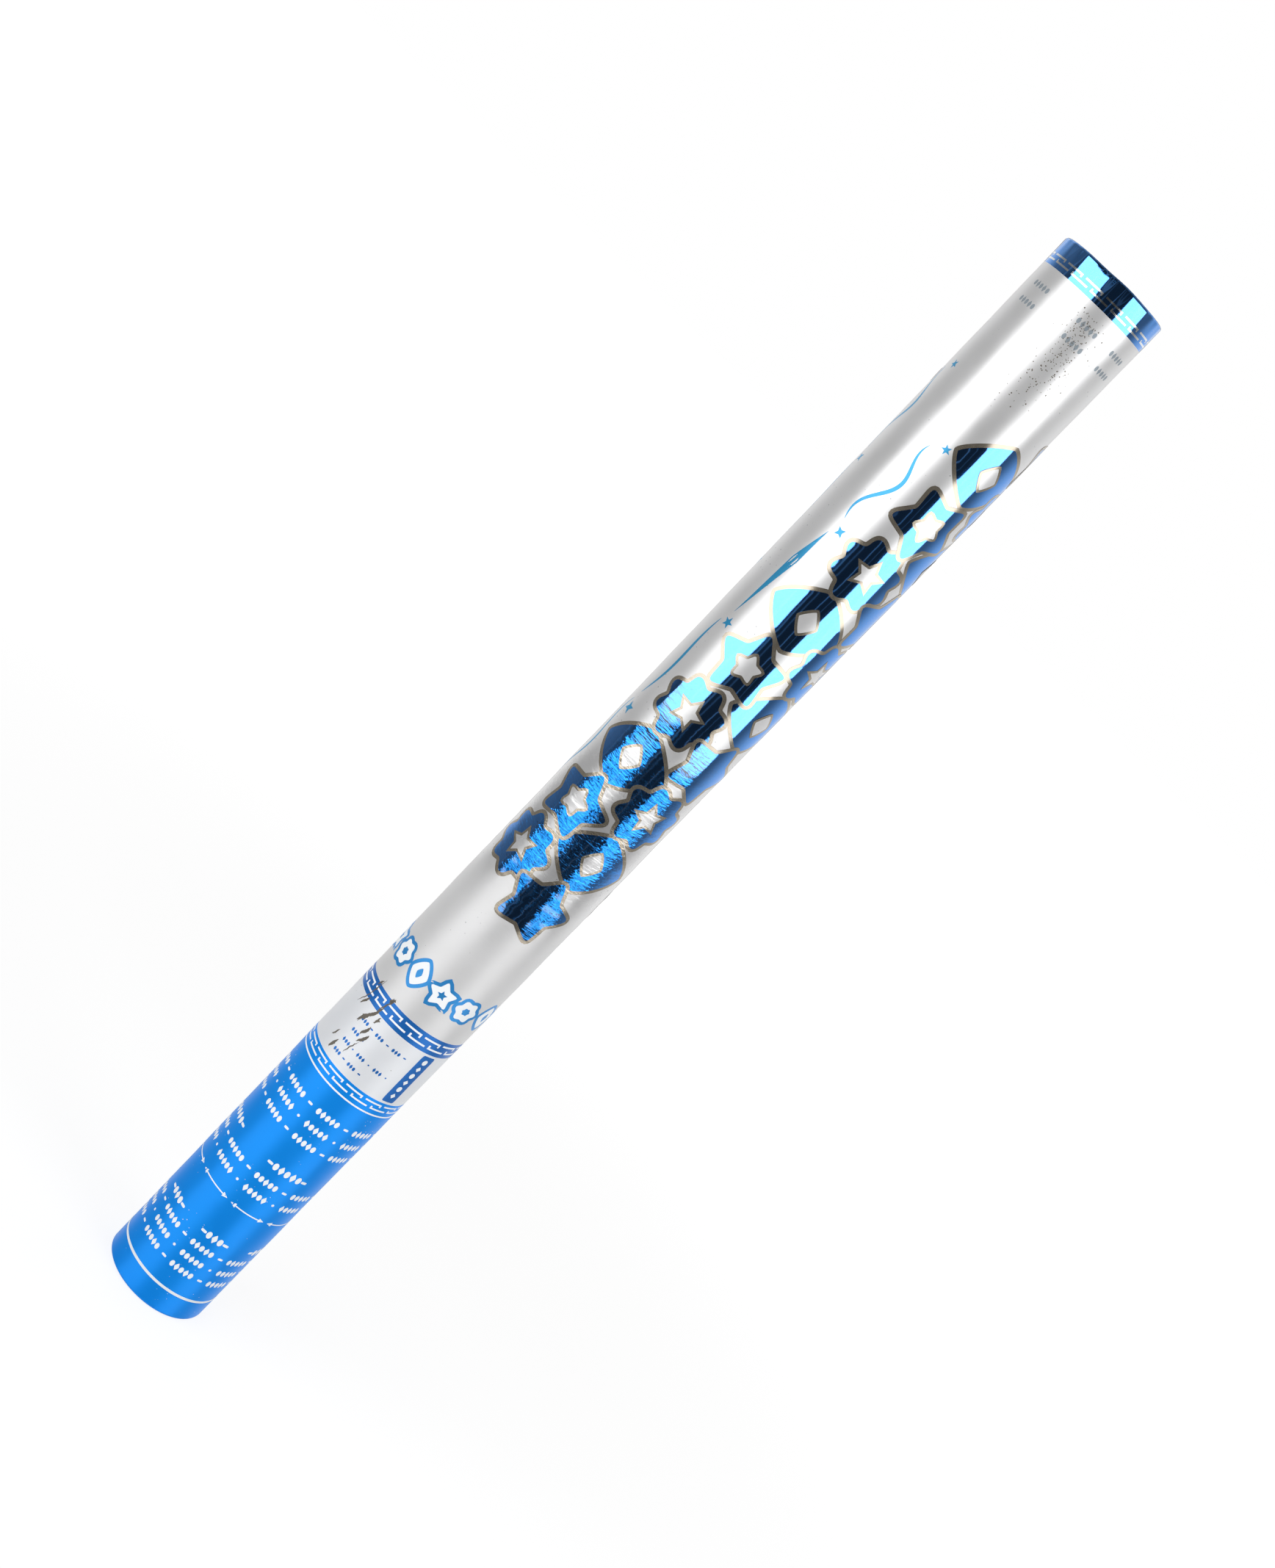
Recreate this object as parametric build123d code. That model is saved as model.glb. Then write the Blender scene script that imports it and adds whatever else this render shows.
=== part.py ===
from build123d import *
import math
import os

# Hand-held compressed-air confetti popper.
# Millimetres, +Z along the tube to the muzzle, origin at the centre of the base cover's underside.

os.makedirs("parts", exist_ok=True)

# Clearances
RUNNING_GAP = 0.08
SEAT_GAP = 0.05
SNUG_GAP = 0.15
LOOSE_GAP = 0.35
OVERRUN = 1.0

# Barrel
BODY_LENGTH = 600.0
OUTER_RADIUS = 26.2
WRAP_THICKNESS = 0.3
TUBE_WALL = 2.0
TUBE_EDGE_RADIUS = 0.8
LIP_DEPTH = 8.0

# Base cover
COVER_HEIGHT = 11.6
COVER_WALL = 1.3
COVER_FLOOR = 1.5
COVER_EDGE_RADIUS = 1.3
COVER_INNER_RADIUS = 0.8

# End collar
FLANGE_THICKNESS = 1.3
NECK_WALL = 1.5
NECK_LENGTH = 7.0
PLUG_WALL = 2.0
CHAMBER_HEIGHT = 21.6
SHUTTER_LIP = 1.0
LEDGE_WIDTH = 4.9
LEDGE_HEIGHT = 3.9

# Safety card
CARD_THICKNESS = 1.1
CARD_WIDTH = 30.0
CARD_SETBACK = 3.32
CARD_SEAT = 1.5
CARD_HOLE_RADIUS = 4.5
CARD_HOLE_SETBACK = 13.2

# Push button
BUTTON_ROOM = 1.7
BUTTON_HEAD = 3.0
BUTTON_EDGE_RADIUS = 0.9
BUTTON_STROKE = 7.0
DISH_RIM = 5.0
DISH_DEPTH = 1.2
BOSS_RADIUS = 6.9
BOSS_HEIGHT = 2.0
STEM_RADIUS = 4.0
STEM_RISE = 10.0

# Stem clip
CLIP_THICKNESS = 1.0
CLIP_RADIUS = 6.5
CLIP_GROOVE = 0.7
CLIP_SLOT = 5.0

# Return spring
SPRING_RADIUS = 8.0
SPRING_WIRE_RADIUS = 0.45
SPRING_LENGTH = 14.8
SPRING_TURNS = 5

# Guide plate and its screws
PLATE_THICKNESS = 3.0
GUIDE_WALL = 2.6
SCREW_COUNT = 3
SCREW_RADIUS = 1.1
SCREW_LENGTH = 6.0
SCREW_HEAD_RADIUS = 2.0
SCREW_HEAD_HEIGHT = 1.2
SCREW_SLOT = 0.6

# Collar tacks
TACK_COUNT = 6
TACK_RADIUS = 0.8
TACK_HEAD_RADIUS = 1.9
TACK_HEAD_HEIGHT = 0.5
TACK_BITE = 1.4

# Bottle holder
HOLDER_PLATE = 3.0
HOLDER_HOLE_RADIUS = 6.5
HOLDER_RIB_COUNT = 6
HOLDER_RIB_THICKNESS = 2.2
HOLDER_RIB_HEIGHT = 24.0
WINDOW_INNER_RADIUS = 13.0
WINDOW_EDGE = 2.2
WINDOW_SWEEP = 34.0

# Gas bottle
BOTTLE_ROOM = 4.85
BOTTLE_WALL = 1.2
BOTTLE_LENGTH = 134.0
BOTTLE_EDGE_RADIUS = 8.0
NECK_RADIUS = 9.2
NECK_BORE_RADIUS = 7.5
NECK_HEIGHT = 9.0
BEAD_RADIUS = 10.0
BEAD_HEIGHT = 2.5

# Valve
VALVE_FLANGE = 1.5
GASKET_THICKNESS = 0.8
VALVE_BORE_RADIUS = 4.2
VALVE_DEPTH = 9.0
CAGE_WALL = 1.2
CAGE_RING = 1.6
CAGE_LEG_COUNT = 3
CAGE_LEG_SWEEP = 34.0
CAGE_HOLE_RADIUS = 1.6
POPPET_STEM_RADIUS = 2.2
POPPET_HEAD_RADIUS = 5.5
POPPET_HEAD = 2.5
POPPET_SEAL = 0.9
POPPET_FIN_COUNT = 3
POPPET_FIN_THICKNESS = 1.0
POPPET_FIN_HEIGHT = 6.0
VALVE_SPRING_RADIUS = 3.4
VALVE_WIRE_RADIUS = 0.35
VALVE_SPRING_LENGTH = 10.6
VALVE_SPRING_TURNS = 4

# Crimp cap
CRIMP_THICKNESS = 0.5

# Filling stopper
STOPPER_RADIUS = 3.0
STOPPER_FLANGE_RADIUS = 4.6
STOPPER_FLANGE = 1.2

# Top spider and gas baffle
SPIDER_WALL = 1.2
SPIDER_SKIRT = 17.0
SPIDER_TOP = 2.0
SPIDER_HOLE_RADIUS = 7.0
SPIDER_FIN_COUNT = 6
SPIDER_FIN_THICKNESS = 2.0
SPIDER_FIN_RISE = 3.0
BAFFLE_THICKNESS = 1.6
BAFFLE_HOLE_RADIUS = 2.0
BAFFLE_RING_SHARES = [0.3, 0.55, 0.8]
BAFFLE_RING_COUNTS = [6, 12, 18]

# Charge
WAD_THICKNESS = 2.5
FELT_THICKNESS = 5.0
CHARGE_FILL_SHARE = 0.897
SLIP_WIDTH_SHARE = 0.95
STACK_SHARE = 0.26
CORE_SHARE = 0.324
STACK_GAP = 0.1
LAYER_COUNT = 7
LAYER_TURN = 27.0
STACK_NAMES = ["gold", "pink", "blue", "silver"]

# Muzzle disc
DISC_THICKNESS = 2.5
DISC_RECESS = 3.0

# Radii that follow from the sizes above
wrap_inner = OUTER_RADIUS - WRAP_THICKNESS
tube_radius = wrap_inner - SEAT_GAP
bore_radius = tube_radius - TUBE_WALL
lip_outer = bore_radius - SEAT_GAP
lip_inner = lip_outer - WRAP_THICKNESS
plug_radius = bore_radius - SNUG_GAP
plug_inner = plug_radius - PLUG_WALL
cover_bore = OUTER_RADIUS - COVER_WALL
neck_radius = cover_bore - RUNNING_GAP
neck_inner = neck_radius - NECK_WALL
plate_radius = plug_inner - SNUG_GAP
ledge_inner = plug_inner - LEDGE_WIDTH
screw_circle = plug_inner - LEDGE_WIDTH / 2
charge_radius = lip_inner - LOOSE_GAP
card_channel = CARD_WIDTH + 2 * SNUG_GAP
thumb_window = CARD_WIDTH - 2 * CARD_SEAT
card_nose = neck_inner - CARD_SETBACK - CARD_WIDTH / 2
card_hole_place = OUTER_RADIUS - CARD_HOLE_SETBACK
button_radius = plug_inner - BUTTON_ROOM
dish_radius = button_radius - DISH_RIM
window_outer = plug_radius - WINDOW_EDGE
bottle_radius = bore_radius - BOTTLE_ROOM
valve_radius = NECK_BORE_RADIUS - RUNNING_GAP
cage_radius = valve_radius - SNUG_GAP
crimp_bore = BEAD_RADIUS + SEAT_GAP
crimp_radius = crimp_bore + CRIMP_THICKNESS
groove_radius = STEM_RADIUS - CLIP_GROOVE
shoulder_radius = bottle_radius - NECK_RADIUS
slip_width = SLIP_WIDTH_SHARE * charge_radius
stack_thickness = STACK_SHARE * charge_radius
core_half_width = CORE_SHARE * charge_radius

# Heights that follow from the sizes above, from the base up
flange_low = COVER_HEIGHT + SEAT_GAP
flange_high = flange_low + FLANGE_THICKNESS
card_low = flange_low + (FLANGE_THICKNESS - CARD_THICKNESS) / 2
shutter_low = flange_low - SHUTTER_LIP
shutter_high = flange_high + SHUTTER_LIP
button_low = shutter_high + LOOSE_GAP
button_high = button_low + BUTTON_HEAD
boss_high = button_high + BOSS_HEIGHT
plate_low = button_high + SPRING_LENGTH + 2 * SEAT_GAP
plate_high = plate_low + PLATE_THICKNESS
guide_low = boss_high + BUTTON_STROKE + LOOSE_GAP
clip_low = plate_high + SEAT_GAP
clip_high = clip_low + CLIP_THICKNESS
stem_high = clip_high + STEM_RISE
plug_high = plate_high + CHAMBER_HEIGHT
holder_high = plug_high + HOLDER_PLATE
crimp_low = holder_high + SEAT_GAP
valve_low = crimp_low + CRIMP_THICKNESS
gasket_low = valve_low + VALVE_FLANGE
neck_low = gasket_low + GASKET_THICKNESS
bead_high = neck_low + BEAD_HEIGHT
shoulder_centre = neck_low + NECK_HEIGHT + shoulder_radius
bottle_high = neck_low + BOTTLE_LENGTH
valve_high = neck_low + VALVE_DEPTH
seal_low = valve_high + SEAT_GAP
poppet_head_low = seal_low + POPPET_SEAL
poppet_high = poppet_head_low + POPPET_HEAD
cage_inner_high = poppet_high + VALVE_SPRING_LENGTH + 2 * SEAT_GAP
cage_high = cage_inner_high + CAGE_RING
spider_low = bottle_high + SEAT_GAP
spider_high = spider_low + SPIDER_TOP
spider_fin_high = spider_high + SPIDER_FIN_RISE
baffle_low = spider_fin_high + SEAT_GAP
baffle_high = baffle_low + BAFFLE_THICKNESS
wad_low = baffle_high + LOOSE_GAP
wad_high = wad_low + WAD_THICKNESS
felt_low = wad_high + SEAT_GAP
felt_high = felt_low + FELT_THICKNESS
tube_high = BODY_LENGTH - WRAP_THICKNESS - SEAT_GAP
disc_high = BODY_LENGTH - DISC_RECESS
disc_low = disc_high - DISC_THICKNESS
layer_pitch = CHARGE_FILL_SHARE * (disc_low - felt_high) / LAYER_COUNT
slip_length = layer_pitch - STACK_GAP
tack_height = (plate_high + plug_high) / 2


def disc(radius, low, high):
    """Round plate or bar about Z between two heights."""
    solid = Cylinder(radius, high - low, align=(Align.CENTER, Align.CENTER, Align.MIN))
    return Pos(0, 0, low) * solid


def ring(outer, inner, low, high):
    """Round ring about Z between two heights."""
    return disc(outer, low, high) - disc(inner, low - OVERRUN, high + OVERRUN)


def bar(x_low, x_high, y_low, y_high, low, high):
    """Box given by its limits along X, Y and Z."""
    solid = Box(x_high - x_low, y_high - y_low, high - low, align=Align.MIN)
    return Pos(x_low, y_low, low) * solid


def profile(inner, outer, low, high):
    """Rectangle in the XZ plane between two radii and two heights."""
    shape = Rectangle(outer - inner, high - low, align=(Align.MIN, Align.MIN))
    return Plane.XZ * Pos(inner, low) * shape


def round_corners(shape, radius, corners):
    """Round those corners of an XZ profile whose (x, z) are listed."""
    def wanted(vertex):
        return any(math.dist((vertex.X, vertex.Z), corner) < SEAT_GAP for corner in corners)

    return fillet([vertex for vertex in shape.vertices() if wanted(vertex)], radius)


def turned(shape):
    """Solid of revolution of an XZ profile about Z."""
    return revolve(shape, Axis.Z)


def around(count, solid, turn=0.0):
    """Copies of a solid spread evenly about Z."""
    return [Rot(0, 0, turn + 360 * index / count) * solid for index in range(count)]


def coil_spring(mean_radius, wire_radius, low, length, turns):
    """Helical wire that fills the given height."""
    pitch = (length - 2 * wire_radius) / turns
    path = Helix(pitch, pitch * turns, mean_radius, center=(0, 0, low + wire_radius))
    section = Plane(path @ 0, z_dir=path % 0) * Circle(wire_radius)
    return sweep(section, path, is_frenet=True)


def tack_cutters(gap):
    """Shanks and heads of the collar tacks, grown by a gap, pointing at the axis."""
    head_low = tube_radius - TACK_HEAD_HEIGHT
    tip = plug_radius - TACK_BITE
    shank = disc(TACK_RADIUS + gap, tip - gap, head_low)
    head = disc(TACK_HEAD_RADIUS + gap, head_low - gap, tube_radius + OVERRUN)
    lying = Pos(0, 0, tack_height) * Rot(0, 90, 0) * (shank + head)
    return around(TACK_COUNT, lying, 180 / TACK_COUNT)


def on_screw_circle(solid):
    """Copies of a solid at the plate screws' places."""
    return around(SCREW_COUNT, Pos(screw_circle, 0, 0) * solid)


def sector(outer, inner, sweep, low, high):
    """Piece of a ring about Z, centred on +X, between two heights."""
    inside = CenterArc((0, 0), inner, -sweep / 2, sweep)
    outside = CenterArc((0, 0), outer, -sweep / 2, sweep)
    outline = inside + outside + Line(inside @ 0, outside @ 0) + Line(inside @ 1, outside @ 1)
    return extrude(Pos(0, 0, low) * make_face(outline), high - low)


def card_outline(width, nose, end):
    """Strip along Y with a round nose inside and an end at the given reach."""
    half = width / 2
    strip = Pos(0, -nose) * Rectangle(width, nose + end, align=(Align.CENTER, Align.MIN))
    return strip + Pos(0, -nose) * Circle(half)


def bottle_form(grow):
    """Outside of the bottle's shoulder, body and far end, grown by an offset."""
    radius = shoulder_radius + grow
    diagonal = radius * math.sqrt(0.5)
    edge = BOTTLE_EDGE_RADIUS + grow
    edge_diagonal = edge * math.sqrt(0.5)
    edge_x = bottle_radius - BOTTLE_EDGE_RADIUS
    edge_z = bottle_high - BOTTLE_EDGE_RADIUS
    neck_start = (NECK_RADIUS, shoulder_centre - radius)
    side_low = (NECK_RADIUS + radius, shoulder_centre)
    side_high = (edge_x + edge, edge_z)
    top_edge = (edge_x, edge_z + edge)
    shoulder_mid = (NECK_RADIUS + diagonal, shoulder_centre - diagonal)
    edge_mid = (edge_x + edge_diagonal, edge_z + edge_diagonal)
    outline = Line((0, shoulder_centre - radius), neck_start)
    outline += ThreePointArc(neck_start, shoulder_mid, side_low)
    outline += Line(side_low, side_high)
    outline += ThreePointArc(side_high, edge_mid, top_edge)
    outline += Polyline(top_edge, (0, edge_z + edge), (0, shoulder_centre - radius))
    return turned(Plane.XZ * make_face(outline))


# Barrel tube: wound paper, with rounded muzzle edges and holes for the tacks
def barrel_tube():
    corners = [(bore_radius, tube_high), (tube_radius, tube_high)]
    wall = profile(bore_radius, tube_radius, flange_high, tube_high)
    return turned(round_corners(wall, TUBE_EDGE_RADIUS, corners)) - tack_cutters(SEAT_GAP)


# Foil wrap: a skin on the tube, folded over the muzzle and down inside
def foil_wrap():
    fold_radius = TUBE_EDGE_RADIUS + SEAT_GAP + WRAP_THICKNESS
    inner_fold = TUBE_EDGE_RADIUS + SEAT_GAP
    inner_high = BODY_LENGTH - WRAP_THICKNESS
    outside = profile(lip_inner, OUTER_RADIUS, flange_high, BODY_LENGTH)
    rim = [(lip_inner, BODY_LENGTH), (OUTER_RADIUS, BODY_LENGTH)]
    outside = round_corners(outside, fold_radius, rim)
    inside = profile(lip_outer, wrap_inner, flange_high - OVERRUN, inner_high)
    inner_rim = [(lip_outer, inner_high), (wrap_inner, inner_high)]
    inside = round_corners(inside, inner_fold, inner_rim)
    lip_low = BODY_LENGTH - LIP_DEPTH
    below_lip = profile(lip_inner - OVERRUN, lip_outer, flange_high - OVERRUN, lip_low)
    return turned(outside - inside - below_lip)


# Base cover: a flush cup that pulls off the collar's neck
def base_cover():
    outside = profile(0, OUTER_RADIUS, 0, COVER_HEIGHT)
    outside = round_corners(outside, COVER_EDGE_RADIUS, [(OUTER_RADIUS, 0)])
    inside = profile(0, cover_bore, COVER_FLOOR, COVER_HEIGHT + OVERRUN)
    inside = round_corners(inside, COVER_INNER_RADIUS, [(cover_bore, COVER_FLOOR)])
    return turned(outside) - turned(inside)


# End collar: neck, flange, slotted shutter and plug, moulded in one
def end_collar():
    neck = ring(neck_radius, neck_inner, flange_low - NECK_LENGTH, flange_high)
    flange = ring(OUTER_RADIUS, neck_inner, flange_low, flange_high)
    plug = ring(plug_radius, plug_inner, flange_low, plug_high)
    shutter = disc(neck_inner + SEAT_GAP, shutter_low, flange_high)
    shutter += disc(plug_radius, flange_low, shutter_high)
    ledge_high = plate_low - SEAT_GAP
    ledge = ring(plug_inner + SEAT_GAP, ledge_inner, ledge_high - LEDGE_HEIGHT, ledge_high)
    window_shape = Circle(plug_inner) & Rectangle(thumb_window, 2 * OUTER_RADIUS)
    window_depth = shutter_high - shutter_low + 2 * OVERRUN
    window = extrude(Pos(0, 0, shutter_low - OVERRUN) * window_shape, window_depth)
    channel_shape = card_outline(card_channel, card_nose, OUTER_RADIUS + OVERRUN)
    channel = extrude(Pos(0, 0, flange_low) * channel_shape, FLANGE_THICKNESS)
    pilots = on_screw_circle(disc(SCREW_RADIUS, plate_low - SCREW_LENGTH, plate_low))
    whole = neck + flange + plug + shutter + ledge
    return whole - window - channel - pilots - tack_cutters(SEAT_GAP)


# Collar tacks: flat-headed tacks through the tube into the plug, flush under the wrap
def collar_tacks():
    reach = TACK_HEAD_RADIUS + OVERRUN
    trim = ring(tube_radius + 2 * OVERRUN, tube_radius, tack_height - reach, tack_height + reach)
    return [cutter - trim for cutter in tack_cutters(0)]


# Safety card: shuts the thumb recess and slides out at the back, flush with the flange
def safety_card():
    outline = card_outline(CARD_WIDTH, card_nose, OUTER_RADIUS) & Circle(OUTER_RADIUS)
    outline -= Pos(0, card_hole_place) * Circle(CARD_HOLE_RADIUS)
    return extrude(Pos(0, 0, card_low) * outline, CARD_THICKNESS)


# Push button: dished head, spring boss and grooved stem
def push_button():
    head = profile(0, button_radius, button_low, button_high)
    head = turned(round_corners(head, BUTTON_EDGE_RADIUS, [(button_radius, button_low)]))
    ball_radius = (dish_radius ** 2 + DISH_DEPTH ** 2) / (2 * DISH_DEPTH)
    dish = Pos(0, 0, button_low + DISH_DEPTH - ball_radius) * Sphere(ball_radius)
    boss = disc(BOSS_RADIUS, button_high, boss_high)
    stem = disc(STEM_RADIUS, button_high, stem_high)
    half_gap = SEAT_GAP / 2
    groove = ring(STEM_RADIUS + OVERRUN, groove_radius, clip_low - half_gap, clip_high + half_gap)
    return head - dish + boss + stem - groove


# Stem clip: an open ring in the stem's groove that rests on the guide plate
def stem_clip():
    half_slot = CLIP_SLOT / 2
    slot = bar(0, CLIP_RADIUS + OVERRUN, -half_slot, half_slot, clip_low - OVERRUN, clip_high + OVERRUN)
    return ring(CLIP_RADIUS, groove_radius + SEAT_GAP, clip_low, clip_high) - slot


# Return spring: between the button's head and the guide plate
def return_spring():
    spring_low = button_high + SEAT_GAP
    return coil_spring(SPRING_RADIUS, SPRING_WIRE_RADIUS, spring_low, SPRING_LENGTH, SPRING_TURNS)


# Guide plate: closes the air chamber and guides the stem
def guide_plate():
    plate = disc(plate_radius, plate_low, plate_high)
    guide = disc(STEM_RADIUS + GUIDE_WALL, guide_low, plate_low)
    bore = disc(STEM_RADIUS + RUNNING_GAP, guide_low - OVERRUN, plate_high + OVERRUN)
    hole = disc(SCREW_RADIUS + SNUG_GAP, plate_low - OVERRUN, plate_high + OVERRUN)
    return plate + guide - bore - on_screw_circle(hole)


# Plate screws: slotted heads on the guide plate
def plate_screws():
    head_low = plate_high + SEAT_GAP
    head_high = head_low + SCREW_HEAD_HEIGHT
    head = disc(SCREW_HEAD_RADIUS, head_low, head_high)
    slot = bar(-SCREW_HEAD_RADIUS, SCREW_HEAD_RADIUS, -SCREW_SLOT / 2, SCREW_SLOT / 2,
               head_high - SCREW_SLOT, head_high + OVERRUN)
    shank = disc(SCREW_RADIUS - SEAT_GAP, plate_low - SCREW_LENGTH + SNUG_GAP, head_low)
    return on_screw_circle(head + shank - slot)


# Bottle holder: a windowed plate on the collar with ribs under the bottle's shoulder
def bottle_holder():
    plate = ring(plug_radius, HOLDER_HOLE_RADIUS, plug_high, holder_high)
    window = sector(window_outer, WINDOW_INNER_RADIUS, WINDOW_SWEEP,
                    plug_high - OVERRUN, holder_high + OVERRUN)
    rib = bar(WINDOW_INNER_RADIUS, plug_radius, -HOLDER_RIB_THICKNESS / 2, HOLDER_RIB_THICKNESS / 2,
              plug_high, holder_high + HOLDER_RIB_HEIGHT)
    rib = rib & disc(plug_radius, plug_high, holder_high + HOLDER_RIB_HEIGHT)
    rib -= bottle_form(SNUG_GAP)
    ribs = around(HOLDER_RIB_COUNT, rib, 180 / HOLDER_RIB_COUNT)
    return plate - around(HOLDER_RIB_COUNT, window) + ribs


# Gas bottle: neck down, with a rolled bead, round shoulder and a filling hole at the far end
def gas_bottle():
    neck = disc(NECK_RADIUS, neck_low, shoulder_centre) + disc(BEAD_RADIUS, neck_low, bead_high)
    bore = disc(NECK_BORE_RADIUS, neck_low - OVERRUN, shoulder_centre)
    filling = disc(STOPPER_RADIUS, bottle_high - BOTTLE_WALL - OVERRUN, bottle_high + OVERRUN)
    return bottle_form(0) + neck - bottle_form(-BOTTLE_WALL) - bore - filling


# Valve body: flanged plug whose top face is the valve seat
def valve_body():
    flange = disc(BEAD_RADIUS, valve_low, gasket_low)
    plug = disc(valve_radius, gasket_low, valve_high)
    return flange + plug - disc(VALVE_BORE_RADIUS, valve_low - OVERRUN, valve_high + OVERRUN)


# Neck gasket: rubber ring between the valve's flange and the bottle's bead
def neck_gasket():
    return ring(BEAD_RADIUS, NECK_BORE_RADIUS, gasket_low, neck_low)


# Crimp cap: thin ferrule rolled over the flange and the bead
def crimp_cap():
    wall = ring(crimp_radius, crimp_bore, crimp_low, bead_high + CRIMP_THICKNESS)
    floor = ring(crimp_radius, HOLDER_HOLE_RADIUS, crimp_low, valve_low)
    roll = ring(crimp_radius, NECK_RADIUS + SEAT_GAP, bead_high, bead_high + CRIMP_THICKNESS)
    return wall + floor + roll


# Valve cage: legged basket on the valve's top face
def valve_cage():
    inner = cage_radius - CAGE_WALL
    foot = ring(cage_radius, inner, valve_high, valve_high + CAGE_RING)
    crown = ring(cage_radius, CAGE_HOLE_RADIUS, cage_inner_high, cage_high)
    leg = sector(cage_radius, inner, CAGE_LEG_SWEEP, valve_high, cage_high)
    return foot + crown + around(CAGE_LEG_COUNT, leg)


# Valve poppet: stem with guide fins and a flat head
def valve_poppet():
    stem = disc(POPPET_STEM_RADIUS, stem_high + SEAT_GAP, poppet_head_low)
    head = disc(POPPET_HEAD_RADIUS, poppet_head_low, poppet_high)
    fin_reach = VALVE_BORE_RADIUS - RUNNING_GAP
    fin_low = valve_low + VALVE_FLANGE
    fin_high = fin_low + POPPET_FIN_HEIGHT
    fin = bar(0, fin_reach, -POPPET_FIN_THICKNESS / 2, POPPET_FIN_THICKNESS / 2, fin_low, fin_high)
    fin = fin & disc(fin_reach, fin_low, fin_high)
    return stem + head + around(POPPET_FIN_COUNT, fin)


# Poppet seal: rubber washer under the valve head
def poppet_seal():
    return ring(POPPET_HEAD_RADIUS, POPPET_STEM_RADIUS, seal_low, poppet_head_low)


# Valve spring: between the valve head and the cage's crown
def valve_spring():
    return coil_spring(VALVE_SPRING_RADIUS, VALVE_WIRE_RADIUS, poppet_high + SEAT_GAP,
                       VALVE_SPRING_LENGTH, VALVE_SPRING_TURNS)


# Filling stopper: rubber plug with a flange on each side of the bottle's wall
def filling_stopper():
    wall_low = bottle_high - BOTTLE_WALL - SEAT_GAP
    wall_high = bottle_high + SEAT_GAP
    shank = disc(STOPPER_RADIUS - SEAT_GAP, wall_low, wall_high)
    inner_flange = disc(STOPPER_FLANGE_RADIUS, wall_low - STOPPER_FLANGE, wall_low)
    outer_flange = disc(STOPPER_FLANGE_RADIUS, wall_high, wall_high + STOPPER_FLANGE)
    return shank + inner_flange + outer_flange


# Top spider: a cap on the bottle's far end with fins that reach the tube
def top_spider():
    inner = bottle_radius + SNUG_GAP
    outer = inner + SPIDER_WALL
    skirt = ring(outer, inner, bottle_high - SPIDER_SKIRT, spider_high)
    cap = ring(outer, SPIDER_HOLE_RADIUS, spider_low, spider_high)
    half_fin = SPIDER_FIN_THICKNESS / 2
    fin = bar(outer - SPIDER_WALL / 2, plug_radius, -half_fin, half_fin,
              bottle_high - SPIDER_SKIRT, spider_fin_high)
    fin = fin & disc(plug_radius, bottle_high - SPIDER_SKIRT, spider_fin_high)
    return skirt + cap + around(SPIDER_FIN_COUNT, fin)


# Gas baffle: perforated disc on the spider's fins
def gas_baffle():
    plate = disc(plug_radius, baffle_low, baffle_high)
    hole = disc(BAFFLE_HOLE_RADIUS, baffle_low - OVERRUN, baffle_high + OVERRUN)
    for share, count in zip(BAFFLE_RING_SHARES, BAFFLE_RING_COUNTS):
        plate -= around(count, Pos(share * plug_radius, 0, 0) * hole)
    return plate


# Wad and felt: the piston under the charge
def wad_disc():
    return disc(charge_radius, wad_low, wad_high)


def felt_pad():
    return disc(charge_radius, felt_low, felt_high)


# Confetti: in each layer four stacks of slips stand round an open core, one per colour
def confetti(colour_index):
    inner = core_half_width + STACK_GAP
    stacks = []
    for layer in range(LAYER_COUNT):
        low = felt_high + STACK_GAP + layer * layer_pitch
        stack = bar(-core_half_width, slip_width - core_half_width,
                    inner, inner + stack_thickness, low, low + slip_length)
        turn = layer * LAYER_TURN - 360 * colour_index / len(STACK_NAMES)
        stacks.append(Rot(0, 0, turn) * stack)
    return stacks


# Muzzle disc: board disc just inside the rim
def muzzle_disc():
    return disc(charge_radius, disc_low, disc_high)


PIECES = {
    "barrel_tube": barrel_tube,
    "foil_wrap": foil_wrap,
    "base_cover": base_cover,
    "end_collar": end_collar,
    "collar_tacks": collar_tacks,
    "safety_card": safety_card,
    "push_button": push_button,
    "stem_clip": stem_clip,
    "return_spring": return_spring,
    "guide_plate": guide_plate,
    "plate_screws": plate_screws,
    "bottle_holder": bottle_holder,
    "gas_bottle": gas_bottle,
    "valve_body": valve_body,
    "neck_gasket": neck_gasket,
    "crimp_cap": crimp_cap,
    "valve_cage": valve_cage,
    "valve_poppet": valve_poppet,
    "poppet_seal": poppet_seal,
    "valve_spring": valve_spring,
    "filling_stopper": filling_stopper,
    "top_spider": top_spider,
    "gas_baffle": gas_baffle,
    "wad_disc": wad_disc,
    "felt_pad": felt_pad,
    "muzzle_disc": muzzle_disc,
}


def write_piece(name, shape):
    """Write one node, a group of solids as one compound."""
    solids = shape if isinstance(shape, list) else [shape]
    solids = [solid for item in solids for solid in item.solids()]
    node = solids[0] if len(solids) == 1 else Compound(children=solids)
    export_step(node, f"parts/{name}.step")
    print(name, len(solids), "solid(s)", round(sum(solid.volume for solid in solids), 1), "mm3")


for piece_name, make_piece in PIECES.items():
    write_piece(piece_name, make_piece())
for index, colour in enumerate(STACK_NAMES):
    write_piece(f"confetti_{colour}", confetti(index))
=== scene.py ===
# %% [markdown]
# # A hand-held confetti popper
# A stiff paper tube, 600 mm long, wears a skin of printed silver film. A blue cover closes the foot and a board disc
# the muzzle. The solids come packed from CAD and stay where they are. This lesson gives them their finishes, wraps the
# film round the tube and sticks the print on it.

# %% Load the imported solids
import math
from functools import partial

import bpy
import numpy as np
from mathutils import Matrix, Vector


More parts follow.
